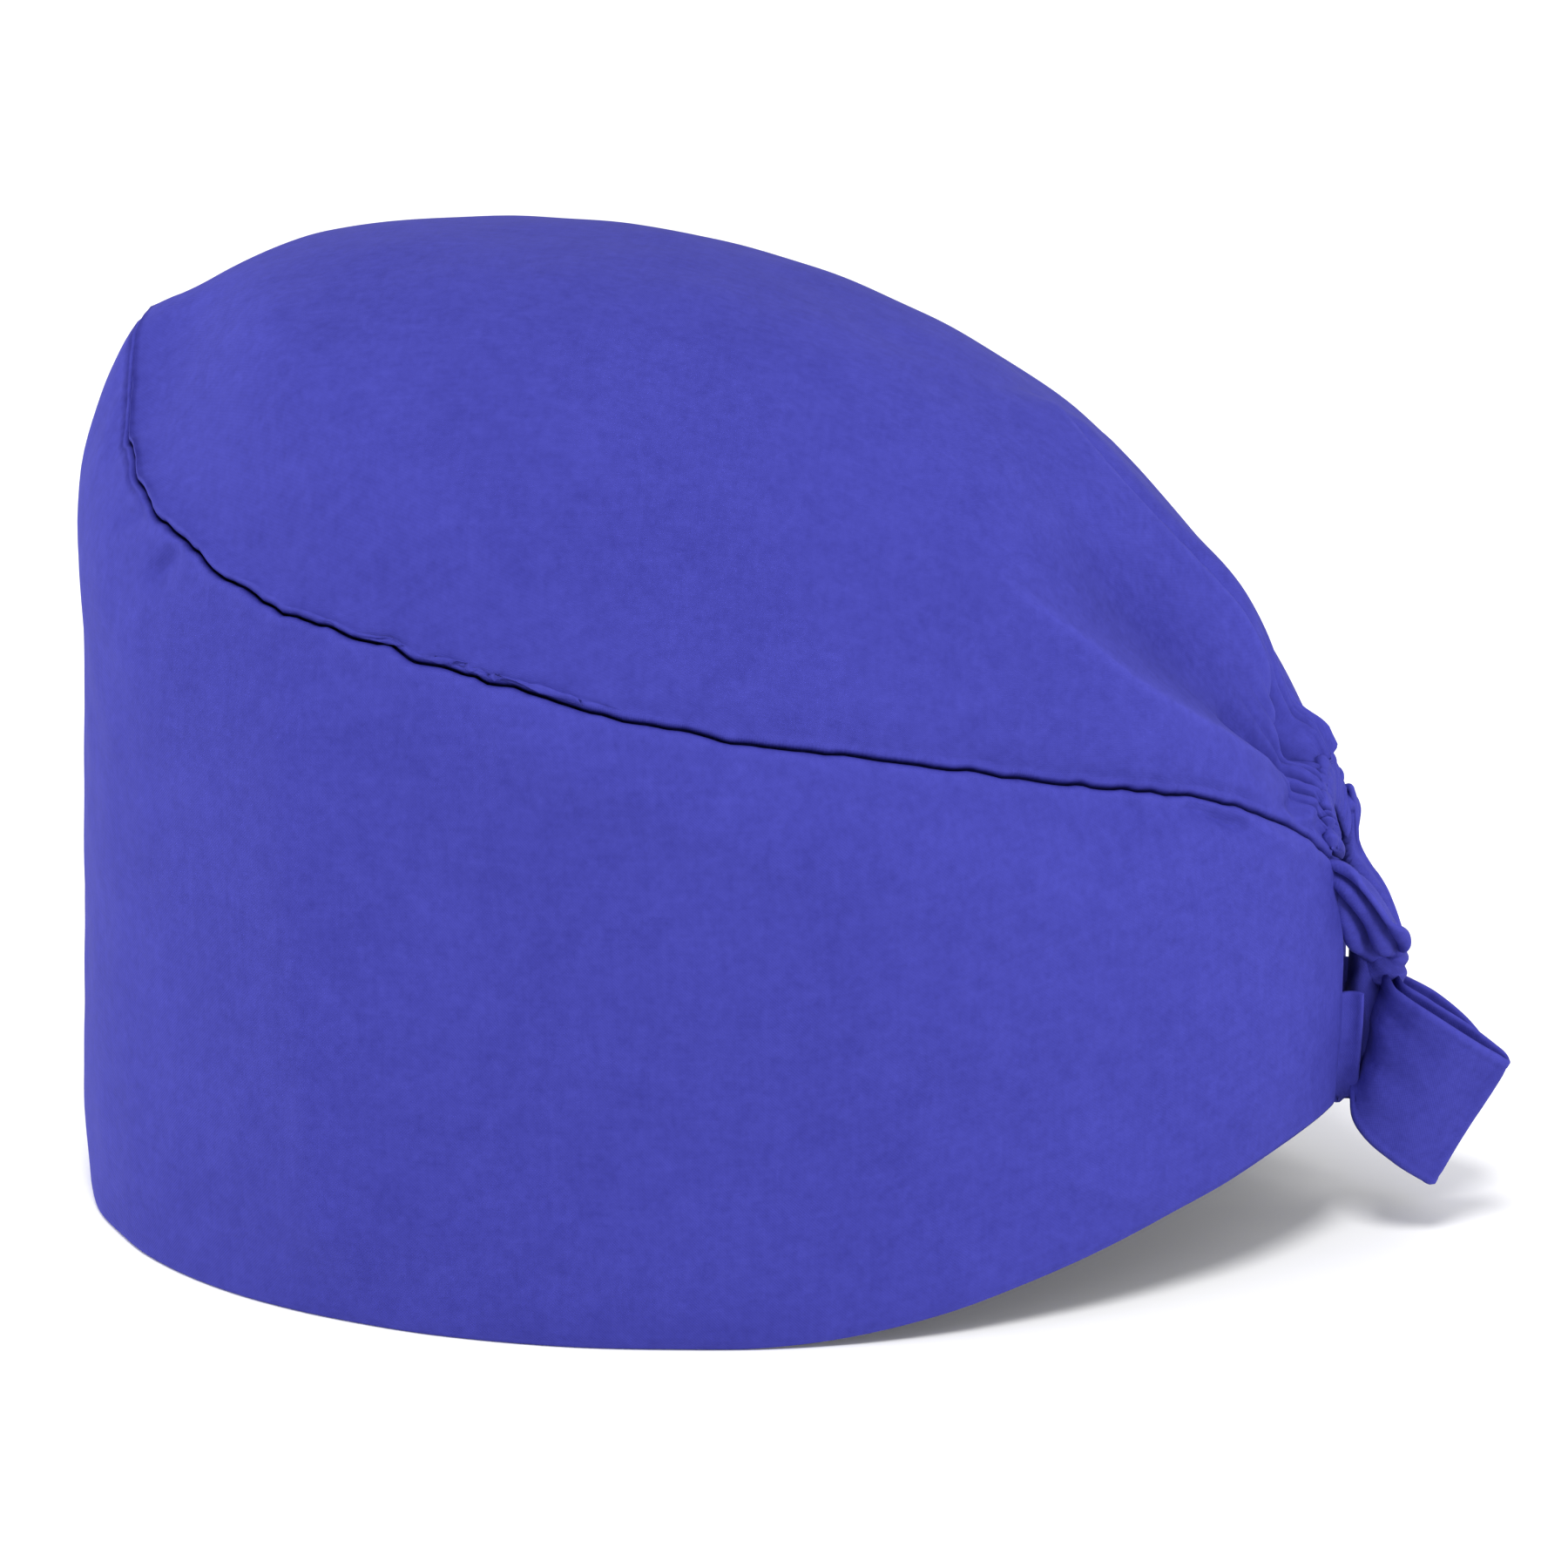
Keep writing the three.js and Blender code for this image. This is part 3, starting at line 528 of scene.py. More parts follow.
class Wire:
    """A socket that takes part in Python arithmetic, which adds the Math nodes."""

    def __init__(self, tree, socket):
        self.tree, self.socket = tree, socket

    def add(self, kind, settings=(), out=0, **links):
        """A node with its settings made first, then its inputs, named or as in_0, in_1."""
        node = self.tree.nodes.new(kind)
        for key, value in dict(settings).items():
            setattr(node, key, value)
        for key, value in links.items():
            name = int(key[3:]) if key.startswith("in_") else key.replace("_", " ")
            target = node.inputs[name]
            if isinstance(value, Wire):
                self.tree.links.new(value.socket, target)
            else:
                target.default_value = value
        return Wire(self.tree, node.outputs[out])

    def math(self, operation, *values):
        links = {f"in_{i}": value for i, value in enumerate(values)}
        return self.add("ShaderNodeMath", {"operation": operation}, **links)

    def __add__(self, other):
        return self.math("ADD", self, other)

    def __sub__(self, other):
        return self.math("SUBTRACT", self, other)

    def __rsub__(self, other):
        return self.math("SUBTRACT", other, self)

    def __mul__(self, other):
        return self.math("MULTIPLY", self, other)

    def sine(self):
        return self.math("SINE", self)

    __radd__, __rmul__ = __add__, __mul__


# Plain-weave cotton, dyed through: matt, with fine yarns, streaks where a yarn is thicker, and a faint
# unevenness of the dye. A painted highlight makes rolled edges, fold crests and other ridges paler.
# Painted shade makes hollows, clefts and the seam's groove darker. Hem and stitches are a little paler
# from use.
DEEP_BLUE = (0.0245, 0.0250, 0.203, 1)
PALE_BLUE = (0.0450, 0.0465, 0.306, 1)
YARN_MM = 0.52
FULL_TURN = 2 * np.pi

# How much each pattern moves the tone between the two blues, and the grains of those that are
# noise, in yarns.
TONE = {
    "streaks": 0.16, "mottle": 0.8, "flecks": 0.5, "clouds": 0.5, "weave": 0.07, "tone_shift": 0.42,
}
TONE_RANGE = (-0.9, 1.2)
STREAK_WIDE, STREAK_LONG = 1.6, 26
MOTTLE_YARNS, FLECK_YARNS, CLOUD_YARNS = 2.6, 7, 50
ROUGH, ROUGH_SPREAD, SHINE = 0.82, 0.12, 0.12
RELIEF = {"weave": 0.5, "streaks": 0.6, "mottle": 0.5}
RELIEF_STRENGTH, RELIEF_DEPTH = 0.35, 0.00009


def plain_cotton(name):
    """Cloth whose colour lies between the two blues by its tone, with the yarns in low relief."""
    material = bpy.data.materials.new(name)
    material.use_nodes = True
    tree = material.node_tree
    shader = tree.nodes["Principled BSDF"]
    start = Wire(tree, None)
    cloth = start.add("ShaderNodeUVMap", {"uv_map": "cloth"})
    in_yarns = start.add(
        "ShaderNodeVectorMath", {"operation": "SCALE"}, in_0=cloth, Scale=1 / (YARN_MM * MM)
    )
    warp = start.add("ShaderNodeSeparateXYZ", in_0=in_yarns)
    weft = Wire(tree, warp.socket.node.outputs[1])
    weave = (warp * FULL_TURN).sine() * (weft * FULL_TURN).sine()

    def noise(across, along, detail):
        """Noise whose grain is so many yarns across and along."""
        stretched = start.add(
            "ShaderNodeVectorMath", {"operation": "MULTIPLY"}, in_0=in_yarns,
            in_1=(1 / across, 1 / along, 1),
        )
        return start.add(
            "ShaderNodeTexNoise", {"noise_dimensions": "2D"}, Vector=stretched, Scale=1.0,
            Detail=detail, Roughness=0.6,
        )

    streaks = noise(STREAK_WIDE, STREAK_LONG, 1) + noise(STREAK_LONG, STREAK_WIDE, 1)

    def grain(yarns, detail):
        """Noise in space whose grain is so many yarns, the same in every direction."""
        place = start.add("ShaderNodeTexCoord", out=3)
        return start.add(
            "ShaderNodeTexNoise", {"noise_dimensions": "3D"}, Vector=place,
            Scale=1 / (yarns * YARN_MM * MM), Detail=detail, Roughness=0.6,
        )

    mottle, flecks, clouds = grain(MOTTLE_YARNS, 2), grain(FLECK_YARNS, 1), grain(CLOUD_YARNS, 2)
    # A point attribute moves the tone: above 0 it is mostly painted highlight, and below 0 it is
    # painted shade, which the low end of the clamp lets go almost black.
    tone_shift = start.add("ShaderNodeAttribute", {"attribute_name": "wear_and_painted_light"}, out=2)
    tone = (
        0.5
        + (streaks - 1.0) * TONE["streaks"]
        + (mottle - 0.5) * TONE["mottle"]
        + (flecks - 0.5) * TONE["flecks"]
        + (clouds - 0.5) * TONE["clouds"]
        + weave * TONE["weave"]
        + tone_shift * TONE["tone_shift"]
    )
    clamped = start.add("ShaderNodeClamp", in_0=tone, in_1=TONE_RANGE[0], in_2=TONE_RANGE[1])
    colour = start.add(
        "ShaderNodeMix", {"data_type": "RGBA", "clamp_factor": False}, out=2,
        in_0=clamped, in_6=DEEP_BLUE, in_7=PALE_BLUE,
    )
    roughness = ROUGH + (mottle - 0.5) * ROUGH_SPREAD
    relief = weave * RELIEF["weave"] + streaks * RELIEF["streaks"] + mottle * RELIEF["mottle"]
    bump = start.add("ShaderNodeBump", in_0=RELIEF_STRENGTH, in_1=RELIEF_DEPTH, Height=relief)
    tree.links.new(colour.socket, shader.inputs["Base Color"])
    tree.links.new(roughness.socket, shader.inputs["Roughness"])
    tree.links.new(bump.socket, shader.inputs["Normal"])
    shader.inputs["Specular IOR Level"].default_value = SHINE
    return material


cotton = plain_cotton("cotton_plain_weave")

band_turns = np.linspace(-1, 1, BAND_COLUMNS + 1)
turn, height = np.meshgrid(band_turns, np.linspace(0, 1, BAND_ROWS + 1))
wall = band_form(turn, height)
outward = -normals_of(wall)
outward *= np.sign((outward * seam_outward(turn)).sum(-1, keepdims=True))
lift, crest = folded(wall, outward, band_form, BAND_FOLDS)
seam_at, split_at, inward_at = seam_point(band_turns)
from_seam = np.linalg.norm(wall - seam_line(turn), axis=-1)
from_rim = height * (seam_line(turn)[..., 2] - rim_line(turn)[..., 2])
sway, pucker = seam_pull(turn, from_seam, 0)
slack = cloth_slack(turn * HALF_ROUND, wall[..., 2], BAND_SLACKS)
slack = slack * smooth(from_rim / RIM_HOLDS) * smooth(from_seam / SEAM_HOLDS)
ripple = RIM_RIPPLE * wander(turn * HALF_ROUND, RIM_LENGTH, RIM_SEED) * np.exp(-from_rim / RIM_FADE)
moved = lift * smooth(0.3 + from_seam / 3) + slack + pucker + ripple
wall = wall + moved[..., None] * outward
pulled = np.maximum(0, 1 - from_seam / SEAM_REACH)[..., None]
wall = wall + sway[..., None] * split_at - ROLL * pulled * split_at
# Painted highlight on the seam's rolled edge and on fold crests, and painted shade in the band's
# hollows and in the cleft beside the seam over the forehead.
wear_and_painted_light = seam_highlight_and_shade(turn, from_seam, crest, lift)
# Painted highlight along the rim.
wear_and_painted_light = wear_and_painted_light + RIM_HIGHLIGHT * np.exp(-((from_rim / RIM_HIGHLIGHT_MM) ** 2))

# The hem copies the wall a fold's thickness inside it, down to a half round at the rim.
hem_shift = 2 * CLOTH + HEM_GAP
radius = hem_shift / 2
level_out = unit(outward[0] * [1, 1, 0])
hem_out = np.concatenate([level_out[None], outward[1:]])
tall = np.linalg.norm(wall[-1] - wall[0], axis=-1)
at = np.arange(BAND_COLUMNS + 1)
hem_rows = []
for rise in np.linspace(HEM_HEIGHT, HEM_FOOT, HEM_ROWS):
    row = np.clip(rise / tall * BAND_ROWS, 0, BAND_ROWS - 1)
    low = row.astype(int)
    over = (row - low)[:, None]
    facing = unit(mix(hem_out[low, at], hem_out[low + 1, at], over))
    hem_rows.append(mix(wall[low, at], wall[low + 1, at], over) - hem_shift * facing)
for angle in HEM_TURN:
    centre = wall[0] - radius * level_out + np.array([0, 0, radius])
    hem_rows.append(centre + radius * (np.sin(angle) * level_out - np.cos(angle) * np.array([0, 0, 1])))
wall_rows = np.concatenate([wall[:1] + np.array([0, 0, radius]), wall[1:]])
upper = sewn_edge(wall[-1], -1, (seam_at, split_at, inward_at))
grid = np.array([*hem_rows, *wall_rows, *upper])
# The hem's inner rows are a little paler from use, and its rounded edge has a painted highlight. The
# rows of the roll and the seam allowance have painted shade that darkens into the seam.
hem_row_wear_and_highlight = [HEM_WEAR] * HEM_ROWS + [HEM_EDGE_HIGHLIGHT] * len(HEM_TURN)
hem_wear_and_highlight, upper_painted_shade = (
    np.repeat(np.array(wear_and_light)[:, None], BAND_COLUMNS + 1, 1) for wear_and_light in (hem_row_wear_and_highlight, SEAM_SHADE)
)
wear_and_light_grid = np.concatenate([hem_wear_and_highlight, wear_and_painted_light, upper_painted_shade])

# Each back edge curls inwards on an arc.
facing = -normals_of(grid)
probe_row = len(hem_rows) + BAND_ROWS // 4
facing *= np.sign((facing[probe_row] * outward[BAND_ROWS // 4]).sum(-1).mean())
curls = []
for edge, beside_it, out in (
    (grid[:, 0], grid[:, 1], facing[:, 2]), (grid[:, -1], grid[:, -2], facing[:, -3]),
):
    beyond = unit(edge - beside_it)
    angles = np.radians(np.linspace(0, CURL_DEGREES, CURL_STEPS + 1)[1:])
    arc = [np.sin(angle) * beyond - (1 - np.cos(angle)) * out for angle in angles]
    curls.append(edge[:, None] + CURL_RADIUS * np.stack(arc, 1))
# The curled back edges have a painted highlight.
curl_highlight = np.full((len(grid), CURL_STEPS), CURL_HIGHLIGHT)
grid = np.concatenate([curls[0][:, ::-1], grid, curls[1]], 1)
wear_and_light_grid = np.concatenate([curl_highlight, wear_and_light_grid, curl_highlight], 1)


def cloth_lengths(grid):
    """Lengths along the cloth to each point, across the middle row and down its column."""
    across = np.cumsum(np.linalg.norm(np.diff(grid[len(grid) // 2], axis=0), axis=-1))
    across = np.concatenate([[0], across])
    down = np.cumsum(np.linalg.norm(np.diff(grid, axis=0), axis=-1), axis=0)
    down = np.concatenate([np.zeros((1, grid.shape[1])), down])
    return np.stack([np.broadcast_to(across, down.shape), down], -1)


band_rows, band_columns = grid.shape[:2]
quads = join_quads(band_rows, band_columns)
probe = grid.reshape(-1, 3)[quads[probe_row * (band_columns - 1) + band_columns // 2]]
if np.cross(probe[2] - probe[0], probe[3] - probe[1])[0] > 0:
    quads = quads[:, ::-1]
side_band = make_sheet(
    "side_band_cloth", grid.reshape(-1, 3), quads, cloth_lengths(grid).reshape(-1, 2),
    wear_and_light_grid.ravel(), CLOTH, cotton,
)
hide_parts("side_band")

# Crown. An egg-shaped panel is sewn to the band's upper edge and its back edge is gathered, so
# that long folds run forward out of the gathers and short ripples lie beside the stitching.
DOME_RISE, ARCH_FORWARD, ARCH_RISE = 48.0, 3.0, 12.0
CROWN_COLUMNS, CROWN_ROWS, EDGE_CROWDED, BACK_CROWDED = 200, 196, 1.4, 1.25
FRONT_BLEND, CROWN_ROUND = 0.22, 110

# By the share of the way along the crown: how far back the ridge has come, its share of the dome's
# rise, and the power of its arch, which is fuller the smaller it is.
RIDGE_REACH = [
    (0, 0), (0.08, 0.035), (0.2, 0.11), (0.35, 0.265), (0.5, 0.459),
    (0.65, 0.649), (0.8, 0.806), (0.9, 0.915), (0.96, 0.972), (1, 1),
]
RIDGE_RISE = [
    (0, 0), (0.08, 0.2), (0.2, 0.52), (0.35, 0.83), (0.5, 1),
    (0.65, 0.97), (0.8, 0.75), (0.9, 0.43), (0.96, 0.15), (1, 0),
]
RIDGE_FULLNESS = [
    (0, 1), (0.08, 0.85), (0.2, 0.74), (0.35, 0.7), (0.5, 0.72),
    (0.65, 0.72), (0.8, 0.77), (0.9, 0.86), (0.96, 0.95), (1, 1),
]

# Gathers of the back edge: pleats and the finer ripples at the stitching. Each has its pitch in
# millimetres, how far round it wanders, over what share and with which seed, and the share along at
# which it starts and comes to its full height.
ARCH_LENGTH = 66.0
PLEAT_PITCH, PLEAT_WANDER, PLEAT_STEP, PLEAT_SEED = 9.5, 0.7, 0.17, 41
PLEAT_HEIGHT, PLEAT_SPREAD, SPREAD_STEP, SPREAD_SEED = 1.5, 0.6, 0.2, 42
RIPPLE_PITCH, RIPPLE_WANDER, RIPPLE_STEP, RIPPLE_SEED = 3.6, 0.6, 0.09, 43
PLEAT_START, PLEAT_RISE, RIPPLE_START, RIPPLE_RISE = 0.915, 0.075, 0.965, 0.03
# GATHER_SHADE scales the painted shade in the hollows of the gathers.
PLEAT_MIDDLE, RIPPLE_MIDDLE, GATHER_SHADE = 1.4, 0.6, 1.8

# The seam's puckers are stronger either side of the forehead.
TEMPLE_TURN, TEMPLE_WIDE, TEMPLE_PUCKER = 0.2, 0.09, 0.5

# Folds of the crown, as the band's are given, on paths of (across, along) places.
CROWN_FOLDS = [
    # The ridge above the side, and the hollow over it that deepens towards the gathers.
    (
        [
            (-0.70, 0.585), (-0.79, 0.61), (-0.84, 0.65), (-0.88, 0.70),
            (-0.885, 0.79), (-0.84, 0.87), (-0.72, 0.93), (-0.45, 0.99),
        ],
        3.0, 4, 13, 1.25, 0.2, 0.08,
    ),
    (
        [(-0.60, 0.64), (-0.62, 0.72), (-0.60, 0.80), (-0.58, 0.87), (-0.53, 0.94), (-0.46, 0.99)],
        -5.6, 14, 14, 2, 0.5, 0.08,
    ),
    ([(-0.70, 0.87), (-0.63, 0.925), (-0.52, 0.975)], -3.2, 3.4, 3.0, 2, 0.4, 0.1),
    # The long pleat near the top with the furrow behind it, and the next pleat beyond.
    (
        [
            (0.06, 0.735), (-0.06, 0.77), (-0.13, 0.80), (-0.145, 0.835), (-0.12, 0.87),
            (-0.10, 0.91), (-0.16, 0.945), (-0.34, 0.965), (-0.42, 0.99),
        ],
        3.0, 1.9, 11, 1.15, 0.1, 0.06,
    ),
    (
        [(0.12, 0.745), (0.02, 0.78), (-0.04, 0.81), (-0.05, 0.85), (-0.01, 0.89), (-0.01, 0.93)],
        -2.2, 2.2, 2.0, 1.7, 0.15, 0.2,
    ),
    (
        [(0.20, 0.75), (0.13, 0.79), (0.10, 0.83), (0.14, 0.88), (0.20, 0.94)],
        1.5, 10, 5, 1.5, 0.2, 0.25,
    ),
    # A pit between the gathers.
    (
        [(-0.02, 0.935), (-0.14, 0.958), (-0.27, 0.972), (-0.20, 0.995)],
        -3.4, 2.4, 2.2, 1.8, 0.25, 0.15,
    ),
    # The far side, which the photograph doesn't show.
    (
        [(0.62, 0.60), (0.78, 0.64), (0.86, 0.72), (0.87, 0.82), (0.76, 0.92), (0.50, 0.99)],
        2.4, 12, 5, 1.4, 0.3, 0.1,
    ),
    ([(0.56, 0.68), (0.64, 0.78), (0.66, 0.88), (0.52, 0.98)], -3.6, 9, 9, 2, 0.5, 0.1),
    ([(0.30, 0.90), (0.36, 0.95), (0.40, 1.0)], 1.6, 2.5, 3, 1.4, 0.3, 0.05),
]

# Broad rises of the crown, as the band's dents are given, by (across, along) place.
CROWN_RISES = [
    (0.05, 0.72, 0.40, 0.12, 1.2),
    (0.10, 0.92, 0.30, 0.05, 2.2),
]


def crown_form(along, across):
    """Arches from the left seam to the right over a ridge line. Each is an ellipse whose rise
    is squared up by a power, and the first one is the seam itself over the forehead."""
    bend = across * np.pi / 2
    fuller = 1 + SEAM["fullness"] * np.sin(2 * bend) ** 2
    rise, side = np.abs(np.cos(bend)) * fuller, np.sin(bend) * fuller
    edge = seam_line(mix(WIDEST_TURN, 1, along))
    ridge_x = mix(-SEAM["front"], SEAM["back"] - ARCH_FORWARD, through(RIDGE_REACH, along))
    ridge_z = mix(FRONT_HEIGHT, CORNER_HEIGHT + ARCH_RISE, along)
    ridge_z = ridge_z + DOME_RISE * through(RIDGE_RISE, along)
    power = rise ** through(RIDGE_FULLNESS, along)
    climb = mix(through(SEAM_CLIMBS, rise), power, smooth(along / FRONT_BLEND))
    return np.stack(
        [mix(edge[..., 0], ridge_x, rise), edge[..., 1] * side, mix(edge[..., 2], ridge_z, climb)],
        -1,
    )


# Rows and columns lie closer together towards the seam and the gathers.
spread = np.linspace(-1, 1, CROWN_COLUMNS + 1)
crown_across = np.sign(spread) * (1 - (1 - np.abs(spread)) ** EDGE_CROWDED)
crown_along = 1 - (1 - np.linspace(0, 1, CROWN_ROWS + 1)) ** BACK_CROWDED
across, along = np.meshgrid(crown_across, crown_along)
dome = crown_form(along, across)
outward = normals_of(dome)
outward *= np.sign(outward[CROWN_ROWS // 2, CROWN_COLUMNS // 2, 2])
lift, crest = folded(dome, outward, lambda a, b: crown_form(b, a), CROWN_FOLDS)

# The seam's turn nearest to each point, between those straight ahead and straight to the side.
front_turn, side_turn = WIDEST_TURN * across, np.sign(across) * mix(WIDEST_TURN, 1, along)
to_front = np.linalg.norm(dome - dome[:1], axis=-1)
ends = np.where((across < 0)[..., None], dome[:, :1], dome[:, -1:])
to_side = np.linalg.norm(dome - ends, axis=-1)
share = to_front**2 / np.maximum(to_front**2 + to_side**2, 1e-9)
nearest_turn = mix(front_turn, side_turn, share)
nearest_turn[0, 0], nearest_turn[0, -1] = -WIDEST_TURN, WIDEST_TURN
from_seam = np.minimum(to_front, to_side)
sway, pucker = seam_pull(nearest_turn, from_seam, 1)
at_temple = np.exp(-(((np.abs(nearest_turn) - TEMPLE_TURN) / TEMPLE_WIDE) ** 2))
pucker = pucker * (1 + TEMPLE_PUCKER * at_temple)

pleats = across * ARCH_LENGTH / PLEAT_PITCH + PLEAT_WANDER * wander(across, PLEAT_STEP, PLEAT_SEED)
pleats = 2 * np.abs(np.sin(np.pi * pleats)) ** 0.8 - PLEAT_MIDDLE
pleats = pleats * (PLEAT_HEIGHT + PLEAT_SPREAD * wander(across, SPREAD_STEP, SPREAD_SEED))
ripples = across * ARCH_LENGTH / RIPPLE_PITCH
ripples = ripples + RIPPLE_WANDER * wander(across, RIPPLE_STEP, RIPPLE_SEED)
ripples = np.abs(np.sin(np.pi * ripples)) - RIPPLE_MIDDLE
gathers = pleats * smooth((along - PLEAT_START) / PLEAT_RISE)
gathers = gathers + ripples * smooth((along - RIPPLE_START) / RIPPLE_RISE)
gathers = gathers * (1 - across**6)
lift = lift * smooth(0.2 + from_seam / 4)
for at_across, at_along, wide, tall, rise_mm in CROWN_RISES:
    near = ((across - at_across) / wide) ** 2 + ((along - at_along) / tall) ** 2
    lift = lift + rise_mm * np.exp(-near) * smooth(from_seam / CROWN_HOLDS)
slack = cloth_slack(dome[..., 0], across * CROWN_ROUND, CROWN_SLACKS)
slack = slack * smooth(from_seam / CROWN_HOLDS)
dome = dome + (lift + gathers + slack + pucker)[..., None] * outward
_, split_near, _ = seam_point(nearest_turn)
pulled = np.maximum(0, 1 - from_seam / SEAM_REACH)[..., None]
dome = dome + sway[..., None] * split_near + ROLL * pulled * split_near
# Painted highlight on the seam's rolled edge and on fold crests, and painted shade in hollows, deeper
# in the gathers, and in the cleft beside the seam over the forehead.
wear_and_painted_light = seam_highlight_and_shade(nearest_turn, from_seam, crest, lift + GATHER_SHADE * gathers)

# The roll and the seam allowance go round the front and the two sides, and not the gathered edge.
number = np.arange(dome[..., 0].size).reshape(dome.shape[:2])
border = np.concatenate([number[:0:-1, 0], number[0], number[1:, -1]])
border_turns = np.concatenate([side_turn[:0:-1, 0], front_turn[0], side_turn[1:, -1]])
lower = sewn_edge(dome.reshape(-1, 3)[border], 1, seam_point(border_turns))
dome_quads = join_quads(*dome.shape[:2])
strip = np.concatenate([border, dome[..., 0].size + np.arange(len(lower) * len(border))])
strip = strip.reshape(len(lower) + 1, len(border))
strip_quads = np.stack([strip[:-1, :-1], strip[1:, :-1], strip[1:, 1:], strip[:-1, 1:]], -1)
points = np.concatenate([dome.reshape(-1, 3), np.concatenate(lower)])
quads = np.concatenate([dome_quads, strip_quads.reshape(-1, 4)])
middle = CROWN_ROWS // 2 * CROWN_COLUMNS + CROWN_COLUMNS // 2
probe = points[dome_quads[middle]]
if np.cross(probe[2] - probe[0], probe[3] - probe[1])[2] < 0:
    quads = quads[:, ::-1]

# Places on the cloth: across each arch from the ridge, and along the ridge.
arc = np.cumsum(np.linalg.norm(np.diff(dome, axis=1), axis=-1), axis=1)
arc = np.concatenate([np.zeros((len(dome), 1)), arc], 1)
arc = arc - arc[:, CROWN_COLUMNS // 2 : CROWN_COLUMNS // 2 + 1]
ridge = np.linalg.norm(np.diff(dome[:, CROWN_COLUMNS // 2], axis=0), axis=-1)
ridge = np.concatenate([[0], np.cumsum(ridge)])
lengthwise = np.interp(dome[..., 0], dome[:, CROWN_COLUMNS // 2, 0], ridge)
place = np.stack([arc, lengthwise], -1).reshape(-1, 2)
# The rows of the roll and the seam allowance have painted shade that darkens into the seam.
edge_places = [place[border] + 0.3 * (k + 1) for k in range(len(lower))]
edge_painted_shade = [np.full(len(border), w) for w in SEAM_SHADE]
crown = make_sheet(
    "crown_cloth", points, quads, np.concatenate([place, *edge_places]),
    np.concatenate([wear_and_painted_light.ravel(), *edge_painted_shade]), CLOTH, cotton,
)
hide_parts("crown")


# Casing. The gathered edge of the crown is bound in a short padded channel that the tie runs
# through. It arches over the nape from corner to corner, in lobes between the gathers, with one
# row of stitches in a groove along the crown's side.
CASING_WIDTH, CASING_LEAN, CASING_THICK, CASING_REACH = 8.0, 1.4, 2.6, 0.95
CASING_DROP, CASING_OVERLAP, CASING_BACK = 6.0, 1.9, 0.2
CASING_AROUND, CASING_ALONG, CASING_ROUND = 40, 321, 22
LOBE_PITCH, LOBE_WANDER, LOBE_STEP, LOBE_SEED, SIZE_STEP, SIZE_SEED = 3.3, 0.7, 4.1, 61, 4.6, 62
GROOVE_AT, GROOVE_WIDE, GROOVE_DEEP = -0.42, 0.14, 0.45
STITCH_COUNT, STITCH_LENGTH, STITCH_THICK, STITCH_SAG = 26, 1.7, 0.32, 0.16
STITCH_REACH, STITCH_SINK, STITCH_WEAR, LOBE_HIGHLIGHT = 0.9, 0.55, 0.5, 0.3


def casing_line(width, across):
    """Point of the casing's middle layer: from the crown's edge (width 0) towards the middle of
    the opening and a little back (width 1)."""
    edge = crown_form(np.ones_like(across), across)
    middle = np.array([0, 0, CORNER_HEIGHT - CASING_DROP])
    inward = unit((middle - edge) * np.array([0, 1, 1]))
    point = edge + inward * mix(-CASING_OVERLAP, CASING_WIDTH, width)
    return point + np.array([1, 0, 0]) * (CASING_BACK + CASING_LEAN * width)


def close_tube(sections, around_mm):
    """Quads of rings of points joined in order, with each end closed by a fan of quads to the
    ring's middle. Gives points, quads and places on the cloth."""
    count, size = sections.shape[:2]
    number = np.arange(count * size).reshape(count, size)
    beside_it = np.roll(number, -1, 1)
    quads = np.stack([number[:-1], beside_it[:-1], beside_it[1:], number[1:]], -1).reshape(-1, 4)
    points = [sections.reshape(-1, 3), sections[:1].mean(1), sections[-1:].mean(1)]
    even = np.arange(0, size, 2)
    for centre, rim in ((count * size, number[0, ::-1]), (count * size + 1, number[-1])):
        hub = np.full(len(even), centre)
        fan = np.stack([hub, rim[even], rim[(even + 1) % size], rim[(even + 2) % size]], -1)
        quads = np.concatenate([quads, fan])
    along = np.linalg.norm(np.diff(sections.mean(1), axis=0), axis=-1)
    along = np.concatenate([[0], np.cumsum(along)])
    around = np.linspace(0, around_mm, size)
    place = np.stack(np.broadcast_arrays(around[None], along[:, None]), -1).reshape(-1, 2)
    return np.concatenate(points), quads, np.concatenate([place, place[:1], place[-1:]])


def outward_quads(points, quads):
    """The quads, turned over if the volume inside them comes out negative."""
    a, b, c, d = (points[quads[:, k]] for k in range(4))
    volume = (a * np.cross(b, c)).sum() + (a * np.cross(c, d)).sum()
    return quads if volume > 0 else quads[:, ::-1]


around = np.linspace(0, 2 * np.pi, CASING_AROUND + 1)[:-1]
arch = np.linspace(-CASING_REACH, CASING_REACH, CASING_ALONG)
middle = casing_line(0.5, arch)
wide = casing_line(1.0, arch) - casing_line(0.0, arch)
half_wide = np.linalg.norm(wide, axis=-1, keepdims=True) / 2
wide = unit(wide)
tangent = unit(np.gradient(middle, axis=0))
out = unit(np.cross(tangent, wide))
out = out * np.sign(out[:, :1])
arch_mm = arch * ARCH_LENGTH / 2
lobes = arch_mm / LOBE_PITCH + LOBE_WANDER * wander(arch_mm, LOBE_STEP, LOBE_SEED)
lobes = np.abs(np.sin(np.pi * lobes)) * (0.6 + 0.4 * wander(arch_mm, SIZE_STEP, SIZE_SEED))
lobes = lobes[:, None]
cosine, sine = np.cos(around), np.sin(around)
flat = np.sign(sine) * np.abs(sine) ** 0.75
groove = 1 - GROOVE_DEEP * np.exp(-(((cosine - GROOVE_AT) / GROOVE_WIDE) ** 2))
at_crown = smooth((0.25 - cosine) / 1.1)
